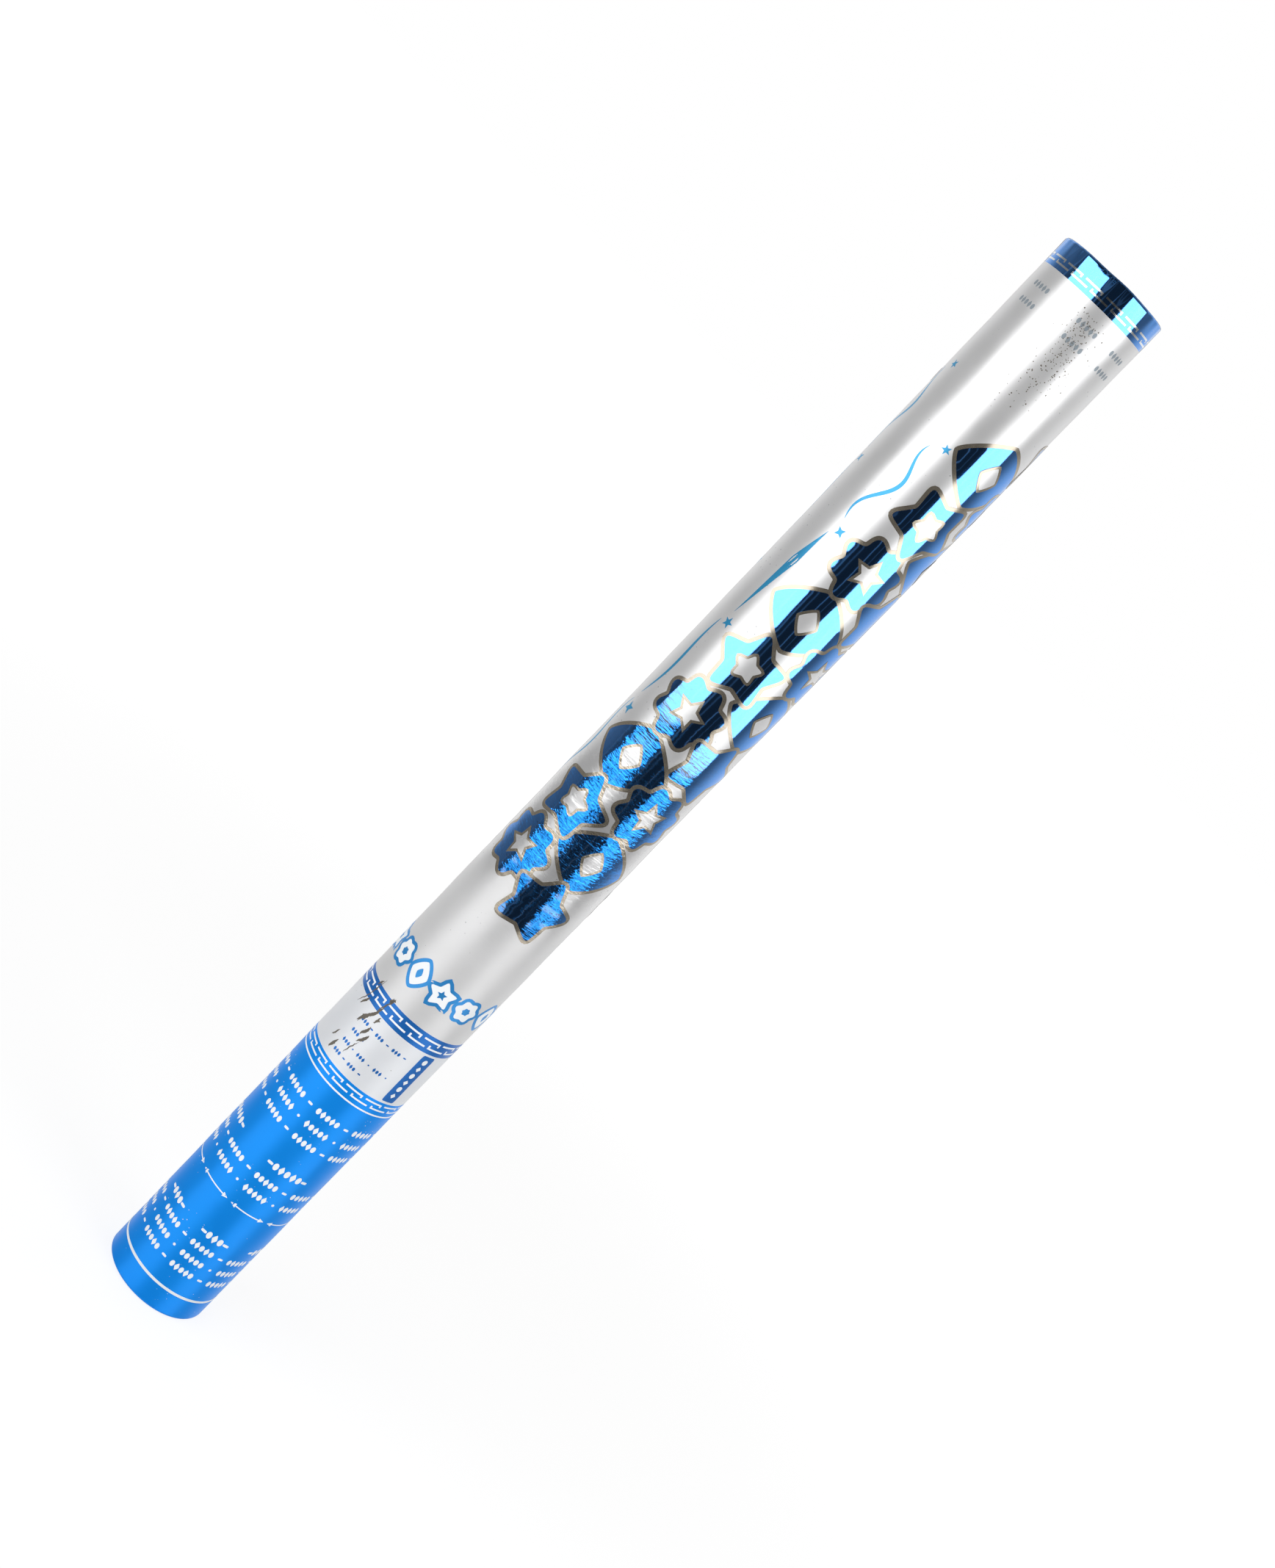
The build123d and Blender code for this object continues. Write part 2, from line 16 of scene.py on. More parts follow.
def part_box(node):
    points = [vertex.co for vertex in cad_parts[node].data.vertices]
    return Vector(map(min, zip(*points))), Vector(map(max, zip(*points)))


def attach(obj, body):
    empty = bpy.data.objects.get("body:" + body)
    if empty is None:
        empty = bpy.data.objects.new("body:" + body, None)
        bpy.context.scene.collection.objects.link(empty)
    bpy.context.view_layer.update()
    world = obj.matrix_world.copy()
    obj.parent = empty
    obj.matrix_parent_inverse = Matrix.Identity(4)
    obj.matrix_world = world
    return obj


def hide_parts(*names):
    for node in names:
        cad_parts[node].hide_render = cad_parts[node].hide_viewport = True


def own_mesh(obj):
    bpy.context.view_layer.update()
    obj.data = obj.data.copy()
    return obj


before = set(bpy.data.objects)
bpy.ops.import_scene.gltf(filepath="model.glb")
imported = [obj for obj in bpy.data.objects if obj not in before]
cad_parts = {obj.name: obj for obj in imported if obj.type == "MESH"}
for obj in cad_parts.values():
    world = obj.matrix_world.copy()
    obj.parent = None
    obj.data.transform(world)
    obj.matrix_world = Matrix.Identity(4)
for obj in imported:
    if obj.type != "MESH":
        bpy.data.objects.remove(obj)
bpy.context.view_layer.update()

# %% [markdown]
# ## Measures
# Blender counts in metres and print in millimetres, so one factor joins them. The tube's radius and the film's ends
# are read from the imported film, so that the print follows if the tube changes.

# %% Read the tube's measures
MM = 0.001
PER_MM = 1 / MM
film_low, film_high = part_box("foil_wrap")
TUBE_RADIUS = film_high.x / MM
FILM_FOOT = film_low.z / MM
MUZZLE = film_high.z / MM
GIRTH = 2 * math.pi * TUBE_RADIUS
print(f"tube radius {TUBE_RADIUS:.2f} mm, film from {FILM_FOOT:.2f} to {MUZZLE:.2f} mm, girth {GIRTH:.1f} mm")

# %% [markdown]
# ## Colours and nodes
# Screen colours are written as sRGB hex, but light adds up in linear values, so one function converts them. Every
# material is a small graph of nodes, and one helper adds a node, sets it and links it.

# %% Colour and node helpers
COLOUR = {"data_type": "RGBA"}
# Map Range takes a value, the two ends that it comes from and the two that it goes to.
EVEN, SMOOTH = {"interpolation_type": "LINEAR"}, {"interpolation_type": "SMOOTHSTEP"}


def linear(code):
    """sRGB hex to linear RGBA: c / 12.92 up to 0.04045, and ((c + 0.055) / 1.055) to the power 2.4 above."""
    share = np.array([int(code[i:i + 2], 16) for i in (1, 3, 5)]) / 255
    rgb = np.where(share <= 0.04045, share / 12.92, ((share + 0.055) / 1.055) ** 2.4)
    return (*rgb.tolist(), 1.0)


def plug(node, **sockets):
    """Fill sockets, named by word or by number as i0, i1. A node lends its first live output, an output is linked,
    and anything else is a value."""
    for name, value in sockets.items():
        socket = node.inputs[int(name[1:]) if name[1:].isdigit() else name.replace("_", " ")]
        if isinstance(value, bpy.types.Node):
            value = next(output for output in value.outputs if output.enabled)
        if isinstance(value, bpy.types.NodeSocket):
            node.id_data.links.new(value, socket)
        else:
            socket.default_value = value
    return node


def add(tree, kind, settings=None, *values, **sockets):
    """Add a node, set its properties, or its operation where settings is one word, and fill its sockets: values in
    order, the others by name."""
    node = tree.nodes.new("ShaderNode" + kind)
    settings = {"operation": settings} if isinstance(settings, str) else settings or {}
    for name, value in settings.items():
        setattr(node, name, value)
    return plug(node, **{f"i{number}": value for number, value in enumerate(values)}, **sockets)


def blank(name):
    """A new material, a function that adds nodes to it, its shader and a source of Object coordinates."""
    material = bpy.data.materials.new(name)
    material.use_nodes = True
    print("finish:", name)
    grow = partial(add, material.node_tree)
    return material, grow, material.node_tree.nodes["Principled BSDF"], grow("TexCoord").outputs["Object"]


def two_tone(grow, shader, tones, share, relief, depth, **sockets):
    """Mix two tones by a share, raise a relief by a depth in mm, and fill further sockets of the shader."""
    tone = grow("Mix", COLOUR, share, i6=linear(tones[0]), i7=linear(tones[1]))
    plug(shader, Base_Color=tone, Normal=grow("Bump", Height=relief, Distance=depth * MM), **sockets)
    return tone


print("helpers ready; mid grey is", round(linear("#808080")[0], 3), "in linear light")

# %% [markdown]
# ## Film, foil and ink
# The skin is polyester film with a layer of aluminium a few hundred atoms thick, and the colours are inks and stamped
# foils on it. All are thin sheets that crease across the tube, most of all along one stretch where the film is
# gathered. So they share one graph: a slow noise for cloudy tone, and a noise drawn out round the tube for the
# creases. A photo texture could do this too, but a graph stays sharp at any distance.

# %% Stretches of the film, in mm of height
CLOUD = 22  # size of the slow noise
WANDER = 50  # how far that noise moves the ends of a stretch
UPPER = (260, 330)  # where the upper part begins, and where it is complete
GATHER = (250, 310, 315, 395)  # where the gathered stretch begins, is full, starts to fade and ends


def stretches(grow, place, cloud):
    """Two shares of height plus wandering: 0 to 1 into the upper part, and 0 to 1 to 0 over the gathered stretch."""
    level = grow("SeparateXYZ", Vector=place).outputs["Z"]
    height = grow("Math", "MULTIPLY_ADD", cloud, WANDER * MM, level)
    upper, rise = (grow("MapRange", SMOOTH, height, low * MM, high * MM) for low, high in (UPPER, GATHER[:2]))
    return upper, grow("MapRange", SMOOTH, height, GATHER[2] * MM, GATHER[3] * MM, rise, 0.0)


def along_tube(grow, values, upper, gathered):
    """One value, or three for the lower part, the gathered stretch and the upper part, each blended into the next."""
    if not isinstance(values, tuple):
        return values
    plain = grow("MapRange", Value=upper, To_Min=values[0], To_Max=values[2])
    return grow("MapRange", Value=gathered, To_Min=plain, To_Max=values[1])


print(f"film gathered from about {GATHER[0] - WANDER / 2:.0f} to {GATHER[3] - WANDER / 2:.0f} mm")

# %% A finish for thin films
FLECK_SPACING, FLECK_SIZE = 2.4, 0.24
FLECK_PATCHES = (0.54, 0.62)  # shares of the slow noise between which a patch of flecks sets in
UNEVEN = 0.05


def drawn_noise(grow, place, across, along, **sockets):
    """Noise drawn out to grains of across mm in x and y, and along mm in z."""
    drawn = grow("Mapping", Vector=place, Scale=(PER_MM / across, PER_MM / across, PER_MM / along))
    return grow("TexNoise", Vector=drawn, Scale=1.0, **sockets)


def film(name, tones, metallic, roughness, crease, depth, calm=1.0, fleck=None, **shine):
    """Thin sheet: two tones mixed by a slow noise, flecks of a third tone in patches, and creases of size
    crease = (round the tube, along it) and depth, all in mm. Outside the gathered stretch the creases have only the
    share calm of their depth. Metallic and roughness are values along the tube."""
    material, grow, shader, place = blank(name)
    cloud = grow("TexNoise", Vector=place, Scale=PER_MM / CLOUD, Detail=3.0)
    stretch = stretches(grow, place, cloud)
    creases = drawn_noise(grow, place, *crease, Detail=3.0, Roughness=0.6)
    relief = grow("Math", "MULTIPLY", creases, along_tube(grow, (calm, 1.0, calm), *stretch))
    uneven = grow("MapRange", Value=cloud, To_Min=-UNEVEN, To_Max=UNEVEN)
    gloss = grow("Math", "ADD", uneven, along_tube(grow, roughness, *stretch))
    tone = two_tone(grow, shader, tones, cloud, relief, depth, Roughness=gloss,
                    Metallic=along_tube(grow, metallic, *stretch), **shine)
    if fleck:
        cells = grow("TexVoronoi", Vector=place, Scale=PER_MM / FLECK_SPACING)
        dots = grow("Math", "LESS_THAN", cells, FLECK_SIZE / FLECK_SPACING)
        marks = grow("Math", "MULTIPLY", dots, grow("MapRange", EVEN, cloud, *FLECK_PATCHES))
        plug(shader, Base_Color=grow("Mix", COLOUR, marks, i6=tone, i7=linear(fleck)))
    return material


print(f"film graph ready, with flecks of {FLECK_SIZE} mm every {FLECK_SPACING} mm")

# %% Silver film, blue film and stamped foils
# Real creases are hundredths of a millimetre deep. Those of silver, blue foil and taupe ink are drawn deeper, to show.
# Metallised polyester under a matt lacquer: soft white streaks of the lamps over a pale grey, sharper higher up.
silver_film = film("metallised_polyester_silver", ("#d8d8d8", "#e3e3e4"), (0.35, 0.7, 0.55), (0.45, 0.25, 0.34),
                   (16, 3), 0.33, 0.12, "#85878b")
# Pearl white ink over the silver: paler and duller than the bare film.
pearl_film = film("pearl_ink_on_polyester", ("#e0e3e8", "#ebedf0"), 0.2, 0.45, (30, 5), 0.06, 1.0, "#9a9894")
# The same film under a dense blue ink: an even strong blue with weak streaks, and pale flecks where it is rubbed.
blue_film = film("metallised_polyester_blue", ("#0a8df2", "#0e95f8"), 0.28, 0.36, (30, 5), 0.05, 1.0, "#c9d6e2",
                 Specular_IOR_Level=0.2)
# Hot-stamped metal foil in blue lacquer: a mirror, black where it sees a dark room and pale cyan where it sees a lamp.
blue_foil = film("hot_stamped_foil_blue", ("#2488e2", "#3092ea"), 1.0, (0.1, 0.1, 0.07), (10, 2.2), 1.0, 0.03,
                 Coat_Weight=1.0, Coat_Roughness=0.06, Coat_IOR=1.9, Specular_Tint=linear("#9ccbf2"))
# Hot-stamped foil without colour: a bright mirror.
bright_foil = film("hot_stamped_foil_silver", ("#dfe3e6", "#eceff1"), 1.0, 0.14, (14, 1.6), 0.05)
# Dark pigment with aluminium flake: a warm grey edge that still mirrors the lamps.
taupe_ink = film("metallic_ink_taupe", ("#a89f90", "#b3aa9b"), 0.85, (0.24, 0.24, 0.2), (10, 2.2), 0.65, 0.04)
# Opaque screen ink: plain white, a little chalky.
white_ink = film("screen_ink_white", ("#eef2f5", "#f8fafb"), 0.0, 0.45, (20, 4), 0.02)
# Transparent process inks on the silver: clear mid blue, sky blue, teal and a pale grey.
blue_ink = film("process_ink_blue", ("#1668bd", "#1f74c8"), 0.4, (0.34, 0.34, 0.3), (30, 5), 0.04)
sky_ink = film("process_ink_sky", ("#2b8ad2", "#3896dc"), 0.35, (0.34, 0.34, 0.3), (30, 5), 0.04)
teal_ink = film("process_ink_teal", ("#2d8fc0", "#3a9ccb"), 0.45, (0.34, 0.34, 0.28), (30, 5), 0.04)
grey_ink = film("process_ink_grey", ("#8d97a0", "#9aa4ac"), 0.3, 0.35, (30, 5), 0.03)
# Film scuffed through to the paper: dull brown grey.
scuffed = film("scuffed_film_on_paper", ("#4a443c", "#7d766b"), 0.1, 0.7, (3, 3), 0.1)

# %% [markdown]
# ## Plastics
# The collar, button and holder are injection moulded. The mould leaves a faint grain, and thick plastic lets a little
# light in. A fine noise gives the grain and a slow one the tone. A spark-eroded grain is a tenth of a millimetre, too
# fine to show, so it is drawn at half a millimetre or more.

# %% A finish for moulded plastic
MOULD_CLOUD = 9


def moulded(name, tones, roughness, grain, depth):
    """Moulded plastic: two tones mixed by a slow noise, and a grain of a size and depth in mm that varies the gloss."""
    material, grow, shader, place = blank(name)
    cloud = grow("TexNoise", Vector=place, Scale=PER_MM / MOULD_CLOUD, Detail=4.0)
    pits = grow("TexNoise", Vector=place, Scale=PER_MM / grain, Detail=2.0)
    gloss = grow("MapRange", EVEN, pits, 0.3, 0.7, roughness * 0.85, roughness * 1.2)
    two_tone(grow, shader, tones, cloud, pits, depth, Roughness=gloss, IOR=1.49, Subsurface_Weight=0.05,
             Subsurface_Scale=0.002)
    return material


# Polypropylene: milky white, softly shiny.
white_plastic = moulded("polypropylene_white", ("#eef0f0", "#f6f7f7"), 0.38, 0.7, 0.012)
# Polystyrene: bright red, shinier.
red_plastic = moulded("polystyrene_red", ("#c8201c", "#d42a24"), 0.28, 0.8, 0.01)
# Recycled polypropylene: flat mid grey.
grey_plastic = moulded("polypropylene_grey", ("#8b8f92", "#979b9d"), 0.45, 0.7, 0.015)
# Moulded nitrile rubber: near black, dull.
black_rubber = moulded("nitrile_rubber_black", ("#17181a", "#222325"), 0.62, 0.5, 0.02)

# %% [markdown]
# ## Paper, board and felt
# The tube is kraft paper wound on a slant, so a seam climbs it. Board is pressed from many plies of fibre, and felt is
# a mat of hair. All three are fibres, drawn as one noise, and the seam is a saw wave of turn plus height. A fibre is
# hundredths of a millimetre thick, so the noise is drawn as coarse as it needs to show.

# %% A finish for fibres
SEAM_SHARE = 0.04


def fibrous(name, tones, roughness, fibre, depth, ply, sheen=0.0):
    """Fibre sheet: specks of size fibre = (across, along z) in mm, and on upright faces plies or winding seams every
    ply mm of height."""
    material, grow, shader, place = blank(name)
    specks = drawn_noise(grow, place, *fibre, Detail=5.0, Roughness=0.65)
    axes = grow("SeparateXYZ", Vector=place).outputs
    turn = grow("Math", "ARCTAN2", axes["Y"], axes["X"])
    share = grow("Math", "DIVIDE", turn, 2 * math.pi)
    climb = grow("Math", "MULTIPLY_ADD", axes["Z"], PER_MM / ply, share)
    saw = grow("Math", "FRACT", climb)
    facing = grow("SeparateXYZ", Vector=grow("TexCoord").outputs["Normal"]).outputs["Z"]
    level = grow("Math", "ABSOLUTE", facing)
    upright = grow("MapRange", EVEN, level, 0.3, 0.7, 1.0, 0.0)
    seam = grow("MapRange", EVEN, saw, 0.0, SEAM_SHARE, upright, 0.0)
    mixed = grow("Math", {"operation": "SUBTRACT", "use_clamp": True}, specks, seam)
    two_tone(grow, shader, tones, mixed, mixed, depth, Roughness=roughness, Sheen_Weight=sheen, Sheen_Roughness=0.5)
    return material


# Kraft, spiral wound: dull sandy brown, with a seam every 80 mm.
wound_paper = fibrous("spiral_wound_kraft_paper", ("#c9b594", "#e2d0b5"), 0.85, (2.5, 0.9), 0.03, 80)
# Solid bleached board: off white, with faint fibres.
white_card = fibrous("bleached_board_white", ("#dcdad3", "#f4f2ec"), 0.7, (1.2, 1.2), 0.012, 400)
# Brown board: recycled fibre with darker specks and thin plies at the edge.
brown_board = fibrous("recycled_brown_board", ("#a98f6e", "#cfbb9e"), 0.85, (1.0, 0.6), 0.03, 0.8)
# Pressed wool felt: soft, hairy, cream.
wool_felt = fibrous("pressed_wool_felt", ("#c3bcb0", "#e4dfd6"), 0.95, (0.7, 0.5), 0.12, 400, 0.4)

# %% [markdown]
# ## Metals
# The bottle is drawn and turned aluminium, the valve is turned brass, and springs, screws and tacks are steel. A lathe
# leaves rings round the axis, so the noise is drawn out flat and fine along Z. Real rings are a tenth of a millimetre
# apart, and are drawn coarser so that they show.

# %% A finish for turned metal
RING_REACH, RING_DEPTH = 30, 0.002


def turned_metal(name, tones, roughness, line):
    """Turned metal: rings line mm apart along Z vary the tone, the roughness and a shallow relief."""
    material, grow, shader, place = blank(name)
    rings = drawn_noise(grow, place, RING_REACH, line, Detail=3.0)
    gloss = grow("MapRange", EVEN, rings, 0.3, 0.7, roughness * 0.75, roughness * 1.3)
    two_tone(grow, shader, tones, rings, rings, RING_DEPTH, Roughness=gloss, Metallic=1.0)
    return material


# Drawn aluminium: pale grey, satin.
aluminium = turned_metal("drawn_aluminium", ("#c4c7ca", "#dcdee0"), 0.3, 0.5)
# Turned brass: warm yellow, brighter.
brass = turned_metal("turned_brass", ("#b78f3d", "#d0a851"), 0.25, 0.4)
# Zinc plated steel wire: cool grey.
steel = turned_metal("zinc_plated_steel", ("#9fa3a8", "#c0c4c8"), 0.28, 0.6)

# %% [markdown]
# ## Finishes for the CAD solids
# A solid whose shape is already right keeps its mesh and only gets a finish.

# %% Dress the solids that stay
DRESSED = (
    (wound_paper, "barrel_tube"), (blue_film, "base_cover"), (white_card, "safety_card"), (red_plastic, "push_button"),
    (white_plastic, "end_collar guide_plate bottle_holder top_spider"), (grey_plastic, "valve_cage gas_baffle"),
    (black_rubber, "neck_gasket poppet_seal filling_stopper"), (brown_board, "wad_disc muzzle_disc"),
    (aluminium, "gas_bottle crimp_cap"), (brass, "valve_body valve_poppet"),
    (steel, "collar_tacks stem_clip plate_screws"))
dressed = [(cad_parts[name].data.materials, finish) for finish, names in DRESSED for name in names.split()]
for slots, finish in dressed:
    slots.clear()
    slots.append(finish)
print("solids dressed:", len(dressed))

# %% [markdown]
# ## The film as a surface
# Film on a tube is a sheet over turn and height, but no perfect cylinder: slow waves a few hundredths of a millimetre
# deep bend its reflections, creases run round it where the foil begins, and it is lapped and glued along one line at
# the back. One function gives the radius anywhere, so that the print can lie on it. A displaced cylinder would do, but
# then the print wouldn't know the surface.

# %% Film radius and a point on the film
FILM_SINK = 0.08  # mm that the middle of the waves lies below the CAD film
WAVE_DEPTH, CREASE_DEPTH = 0.03, 0.03
CREASE_FOOT, CREASE_FULL, CREASE_CALM, CREASE_HEAD = 222.0, 236.0, 270.0, 318.0
LAP_RISE, LAP_TURN = 0.12, 0.3


def together(*coordinates):
    """Coordinates side by side on a last axis, each spread to the shape of all."""
    return np.stack(np.broadcast_arrays(*coordinates), axis=-1)


def film_creases(theta, z):
    """Two sine waves of height, 8.5 and 6.1 mm long, bent by slow waves of turn. They rise and fade along the tube."""
    bend = 2.2 * np.sin(2 * theta + 0.4) + 1.3 * np.sin(5 * theta - z / 40)
    waves = np.sin(2 * np.pi * z / 8.5 + bend) + 0.6 * np.sin(2 * np.pi * z / 6.1 - 1.7 * bend + 1)
    return CREASE_DEPTH * waves * np.interp(z, [CREASE_FOOT, CREASE_FULL, CREASE_CALM, CREASE_HEAD], [0, 1, 1, 0])


def film_radius(theta, z):
    """Tube radius less the sink, plus three slow sine waves of turn and height, plus the creases, plus the lap, which
    climbs evenly to the back seam."""
    waves = np.sin(5 * theta + z / 9) + np.sin(3 * theta - z / 5.3 + 1.3) + np.sin(7 * theta + z / 13 + 0.6)
    lap = np.clip((theta - np.pi + LAP_TURN) / LAP_TURN, 0, 1)
    return TUBE_RADIUS - FILM_SINK + WAVE_DEPTH * waves + film_creases(theta, z) + LAP_RISE * lap


def round_axis(radius, theta, z):
    """Point in metres at a radius, a turn from the front line to the right, and a height: (r sin t, -r cos t, z)."""
    return together(radius * np.sin(theta), -radius * np.cos(theta), z) * MM


def on_film(s, z, lift):
    """Point in metres at arc length s to the right of the front line and height z, raised by lift, all in mm."""
    theta = (s / TUBE_RADIUS + np.pi) % (2 * np.pi) - np.pi
    return round_axis(film_radius(theta, z) + lift, theta, z)


print("front of the film at mid height:", on_film(0.0, MUZZLE / 2, 0.0).round(5), "m")

# %% [markdown]
# ## From arrays to pieces
# An array of points becomes a piece in two steps: neighbours are joined to faces, and the mesh rides on a CAD body.
# Modelling tools would ask for an edit of each mesh, and an array goes in at once.

# %% Mesh helpers
SHARP = math.radians(40)


def grid_quads(rows, columns, close_rows=False, close_columns=False):
    """Corner numbers of the quads of a grid that is numbered row by row, joined up round a closed side."""
    row = np.arange(rows if close_rows else rows - 1)[:, None]
    column = np.arange(columns if close_columns else columns - 1)[None, :]
    after, beside = (row + 1) % rows, (column + 1) % columns
    row, after = row * columns, after * columns
    return together(row + column, row + beside, after + beside, after + column).reshape(-1, 4)


def put(name, data):
    """A new object in the scene."""
    thing = bpy.data.objects.new(name, data)
    bpy.context.scene.collection.objects.link(thing)
    return thing


def make_piece(name, points, faces, materials, body, smooth=True, material_of=None):
    """Put points and faces into a mesh at the origin, smooth except at edges sharper than SHARP. Material_of is a
    number per face."""
    mesh = bpy.data.meshes.new(name)
    mesh.from_pydata(points.reshape(-1, 3).tolist(), [], faces)
    for material in materials:
        mesh.materials.append(material)
    mesh.polygons.foreach_set("use_smooth", np.full(len(faces), smooth))
    if material_of is not None:
        mesh.polygons.foreach_set("material_index", material_of.astype(np.int32))
    mesh.update()
    mesh.set_sharp_from_angle(angle=SHARP)
    piece = put(name, mesh)
    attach(piece, body)
    print(f"{name}: {len(mesh.vertices)} points, {len(faces)} faces on {body}")
    return piece


print("quads of a closed grid of 3 x 4:", len(grid_quads(3, 4, True, True)))

# %% [markdown]
# ## The film wrap
# The film's section is a closed loop: up the outside, over the rim in a small fold, down inside the bore, and back
# along the paper. Carried once round the axis it makes a closed skin. Rows sit on the edges of the colour zones, so
# each zone is a material of whole faces with a clean edge, and stand closer where the film is creased. At the rim the
# film is gathered into small pleats, and the fold is a little lumpy.

# %% Section of the film, as depth outwards from the tube's radius and height, in mm
FILM = 0.3
FOLD = 1.15
LIP, LIP_DEPTH = 2.7, 8.0
LOW_ROWS, CREASE_ROWS, HIGH_ROWS, FOLD_ROWS = 65, 65, 89, 7
SILVER, BLUE, WHITE, FOIL, BAND, PEARL = range(6)
zones = np.array([  # height where a zone starts, and its finish
    (FILM_FOOT, BLUE), (135.9, WHITE), (136.7, BLUE), (143.9, PEARL), (174.6, BAND), (183.2, SILVER), (587.5, FOIL)])
wall = np.unique(np.concatenate([
    np.linspace(FILM_FOOT, CREASE_FOOT, LOW_ROWS), np.linspace(CREASE_FOOT, CREASE_HEAD, CREASE_ROWS),
    np.linspace(CREASE_HEAD, MUZZLE - FOLD, HIGH_ROWS), zones[:, 0]]))
arc = np.linspace(0, np.pi / 2, FOLD_ROWS)
rim_out = together(np.cos(arc) * FOLD - FOLD, np.sin(arc) * FOLD + MUZZLE - FOLD)
rim_in = together(FOLD - LIP - np.sin(arc) * FOLD, np.cos(arc) * FOLD + MUZZLE - FOLD)
inside = np.array([(-LIP, MUZZLE - 3), (-LIP, MUZZLE - LIP_DEPTH), (FILM - LIP, MUZZLE - LIP_DEPTH),
                   (FILM - LIP, MUZZLE - FOLD), (FOLD - LIP, MUZZLE - FILM), (-FOLD, MUZZLE - FILM),
                   (-FILM, MUZZLE - FOLD), (-FILM, FILM_FOOT)])
section = np.concatenate([together(0, wall), rim_out[1:], rim_in, inside])
print("section of", len(section), "points,", len(wall), "of them up the outside")

# %% Film wrap
COLUMNS = 288
PLEATS, PLEAT_DEPTH = 36, 0.06
RIM_LUMP = 0.35
theta = (np.arange(COLUMNS) + 0.5) / COLUMNS * 2 * np.pi - np.pi
depth, height = section[:, :1], section[:, 1:]
pleats = np.interp(height, [MUZZLE - LIP_DEPTH, MUZZLE - 1], [0, PLEAT_DEPTH])
pleats = pleats * np.sin(PLEATS * theta + 2 * np.sin(3 * theta))
hug = np.where(depth == 0, film_radius(theta, height) - TUBE_RADIUS, -FILM_SINK * (depth > -LIP / 2))
lumps = np.interp(height, [MUZZLE - 3, MUZZLE], [0, RIM_LUMP]) * (0.5 + 0.5 * np.sin(4 * theta + np.sin(3 * theta)))
film_points = round_axis(TUBE_RADIUS + depth + hug + pleats, theta, height + lumps)
row_zone = zones[np.clip(np.searchsorted(zones[:, 0], section[:, 1] + 1e-6) - 1, 0, None), 1]
row_zone[len(wall):] = FOIL
wrap = make_piece("film_wrap", film_points, grid_quads(len(section), COLUMNS, True, True).tolist(),
                  [silver_film, blue_film, white_ink, blue_foil, blue_ink, pearl_film],
                  "barrel", True, np.repeat(row_zone, COLUMNS))
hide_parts("foil_wrap")

# %% [markdown]
# ## Plates of print
# Print could be a texture, but then its edges blur close up. Here every printed or stamped shape is a thin plate: it is
# drawn flat, in arc length and height, and laid on the film by the same radius function. A few hundredths of a
# millimetre of lift keep it clear of the film, as real stamped foil stands proud. First come the outlines, each a
# curve of one turn.

# %% Outlines
SOFTNESS = 0.07


def turns(count):
    """Even steps round a closed outline, from 0 to just under a full turn."""
    return np.arange(count) / count * 2 * np.pi


def polar(reach, turn):
    """Points at a reach from the centre: (r cos t, r sin t)."""
    return together(reach * np.cos(turn), reach * np.sin(turn))


def superellipse(wide, high, power, count):
    """Closed outline: (cos t, sin t), each raised to 2 / power with its sign, times half width and half height."""
    circle = polar(1.0, turns(count))
    return np.sign(circle) * np.abs(circle) ** (2 / power) * (wide, high)


def star(radius, waist, tips, turn, count):
    """Straight-edged star: between a tip and a notch the polar radius is waist sin a / (sin u + waist sin(a - u)),
    where a is half the turn from tip to tip and u the turn from the nearest tip."""
    t = turns(count)
    half = np.pi / tips
    u = np.abs((t + half) % (2 * half) - half)
    return polar(radius * waist * np.sin(half) / (np.sin(u) + waist * np.sin(half - u)), t + turn)


def soft_star(radius, waist, tips, turn, count):
    """The straight-edged star with its polar radius smoothed by a bell curve over the turn, which rounds tips and
    notches."""
    waves = np.fft.rfft(np.linalg.norm(star(radius, waist, tips, 0, count), axis=-1))
    bell = np.exp(-0.5 * (SOFTNESS * np.arange(len(waves))) ** 2)
    return polar(np.fft.irfft(waves * bell, count), turns(count) + turn)


def rosette(radius, petals, turn, count):
    """Scalloped disc: the polar radius is 0.9 + 0.1 cos(n t) of the full radius, for n petals."""
    t = turns(count)
    return polar(radius * (0.9 + 0.1 * np.cos(petals * t)), t + turn)


print("soft tips of a star of reach 1:", soft_star(1, 0.58, 5, 0, 160).max().round(3))

# %% [markdown]
# ## Fills and ribbons
# A filled outline is a set of rings, so that a large plate can bend round the tube. A ribbon is a line with a width.
# Both keep an even width round corners by a mitre, as a joiner cuts a frame.


# %% Fills and ribbons
def right_normals(steps):
    """Unit normals to the right of steps: (dy, -dx) over the length."""
    return together(steps[..., 1], -steps[..., 0]) / np.linalg.norm(steps, axis=-1, keepdims=True)


def mitre(before, after):
    """Way to the corner of two strips of unit width: (a + b) / (1 + a . b), for their unit normals a and b."""
    return (before + after) / (1 + np.sum(before * after, axis=-1, keepdims=True))


def grown(outline, width):
    """Closed outline moved outwards by an even width: each point goes along the mitre of its two edges."""
    normals = right_normals(np.roll(outline, -1, axis=0) - outline)
    return outline + width * mitre(np.roll(normals, 1, axis=0), normals)


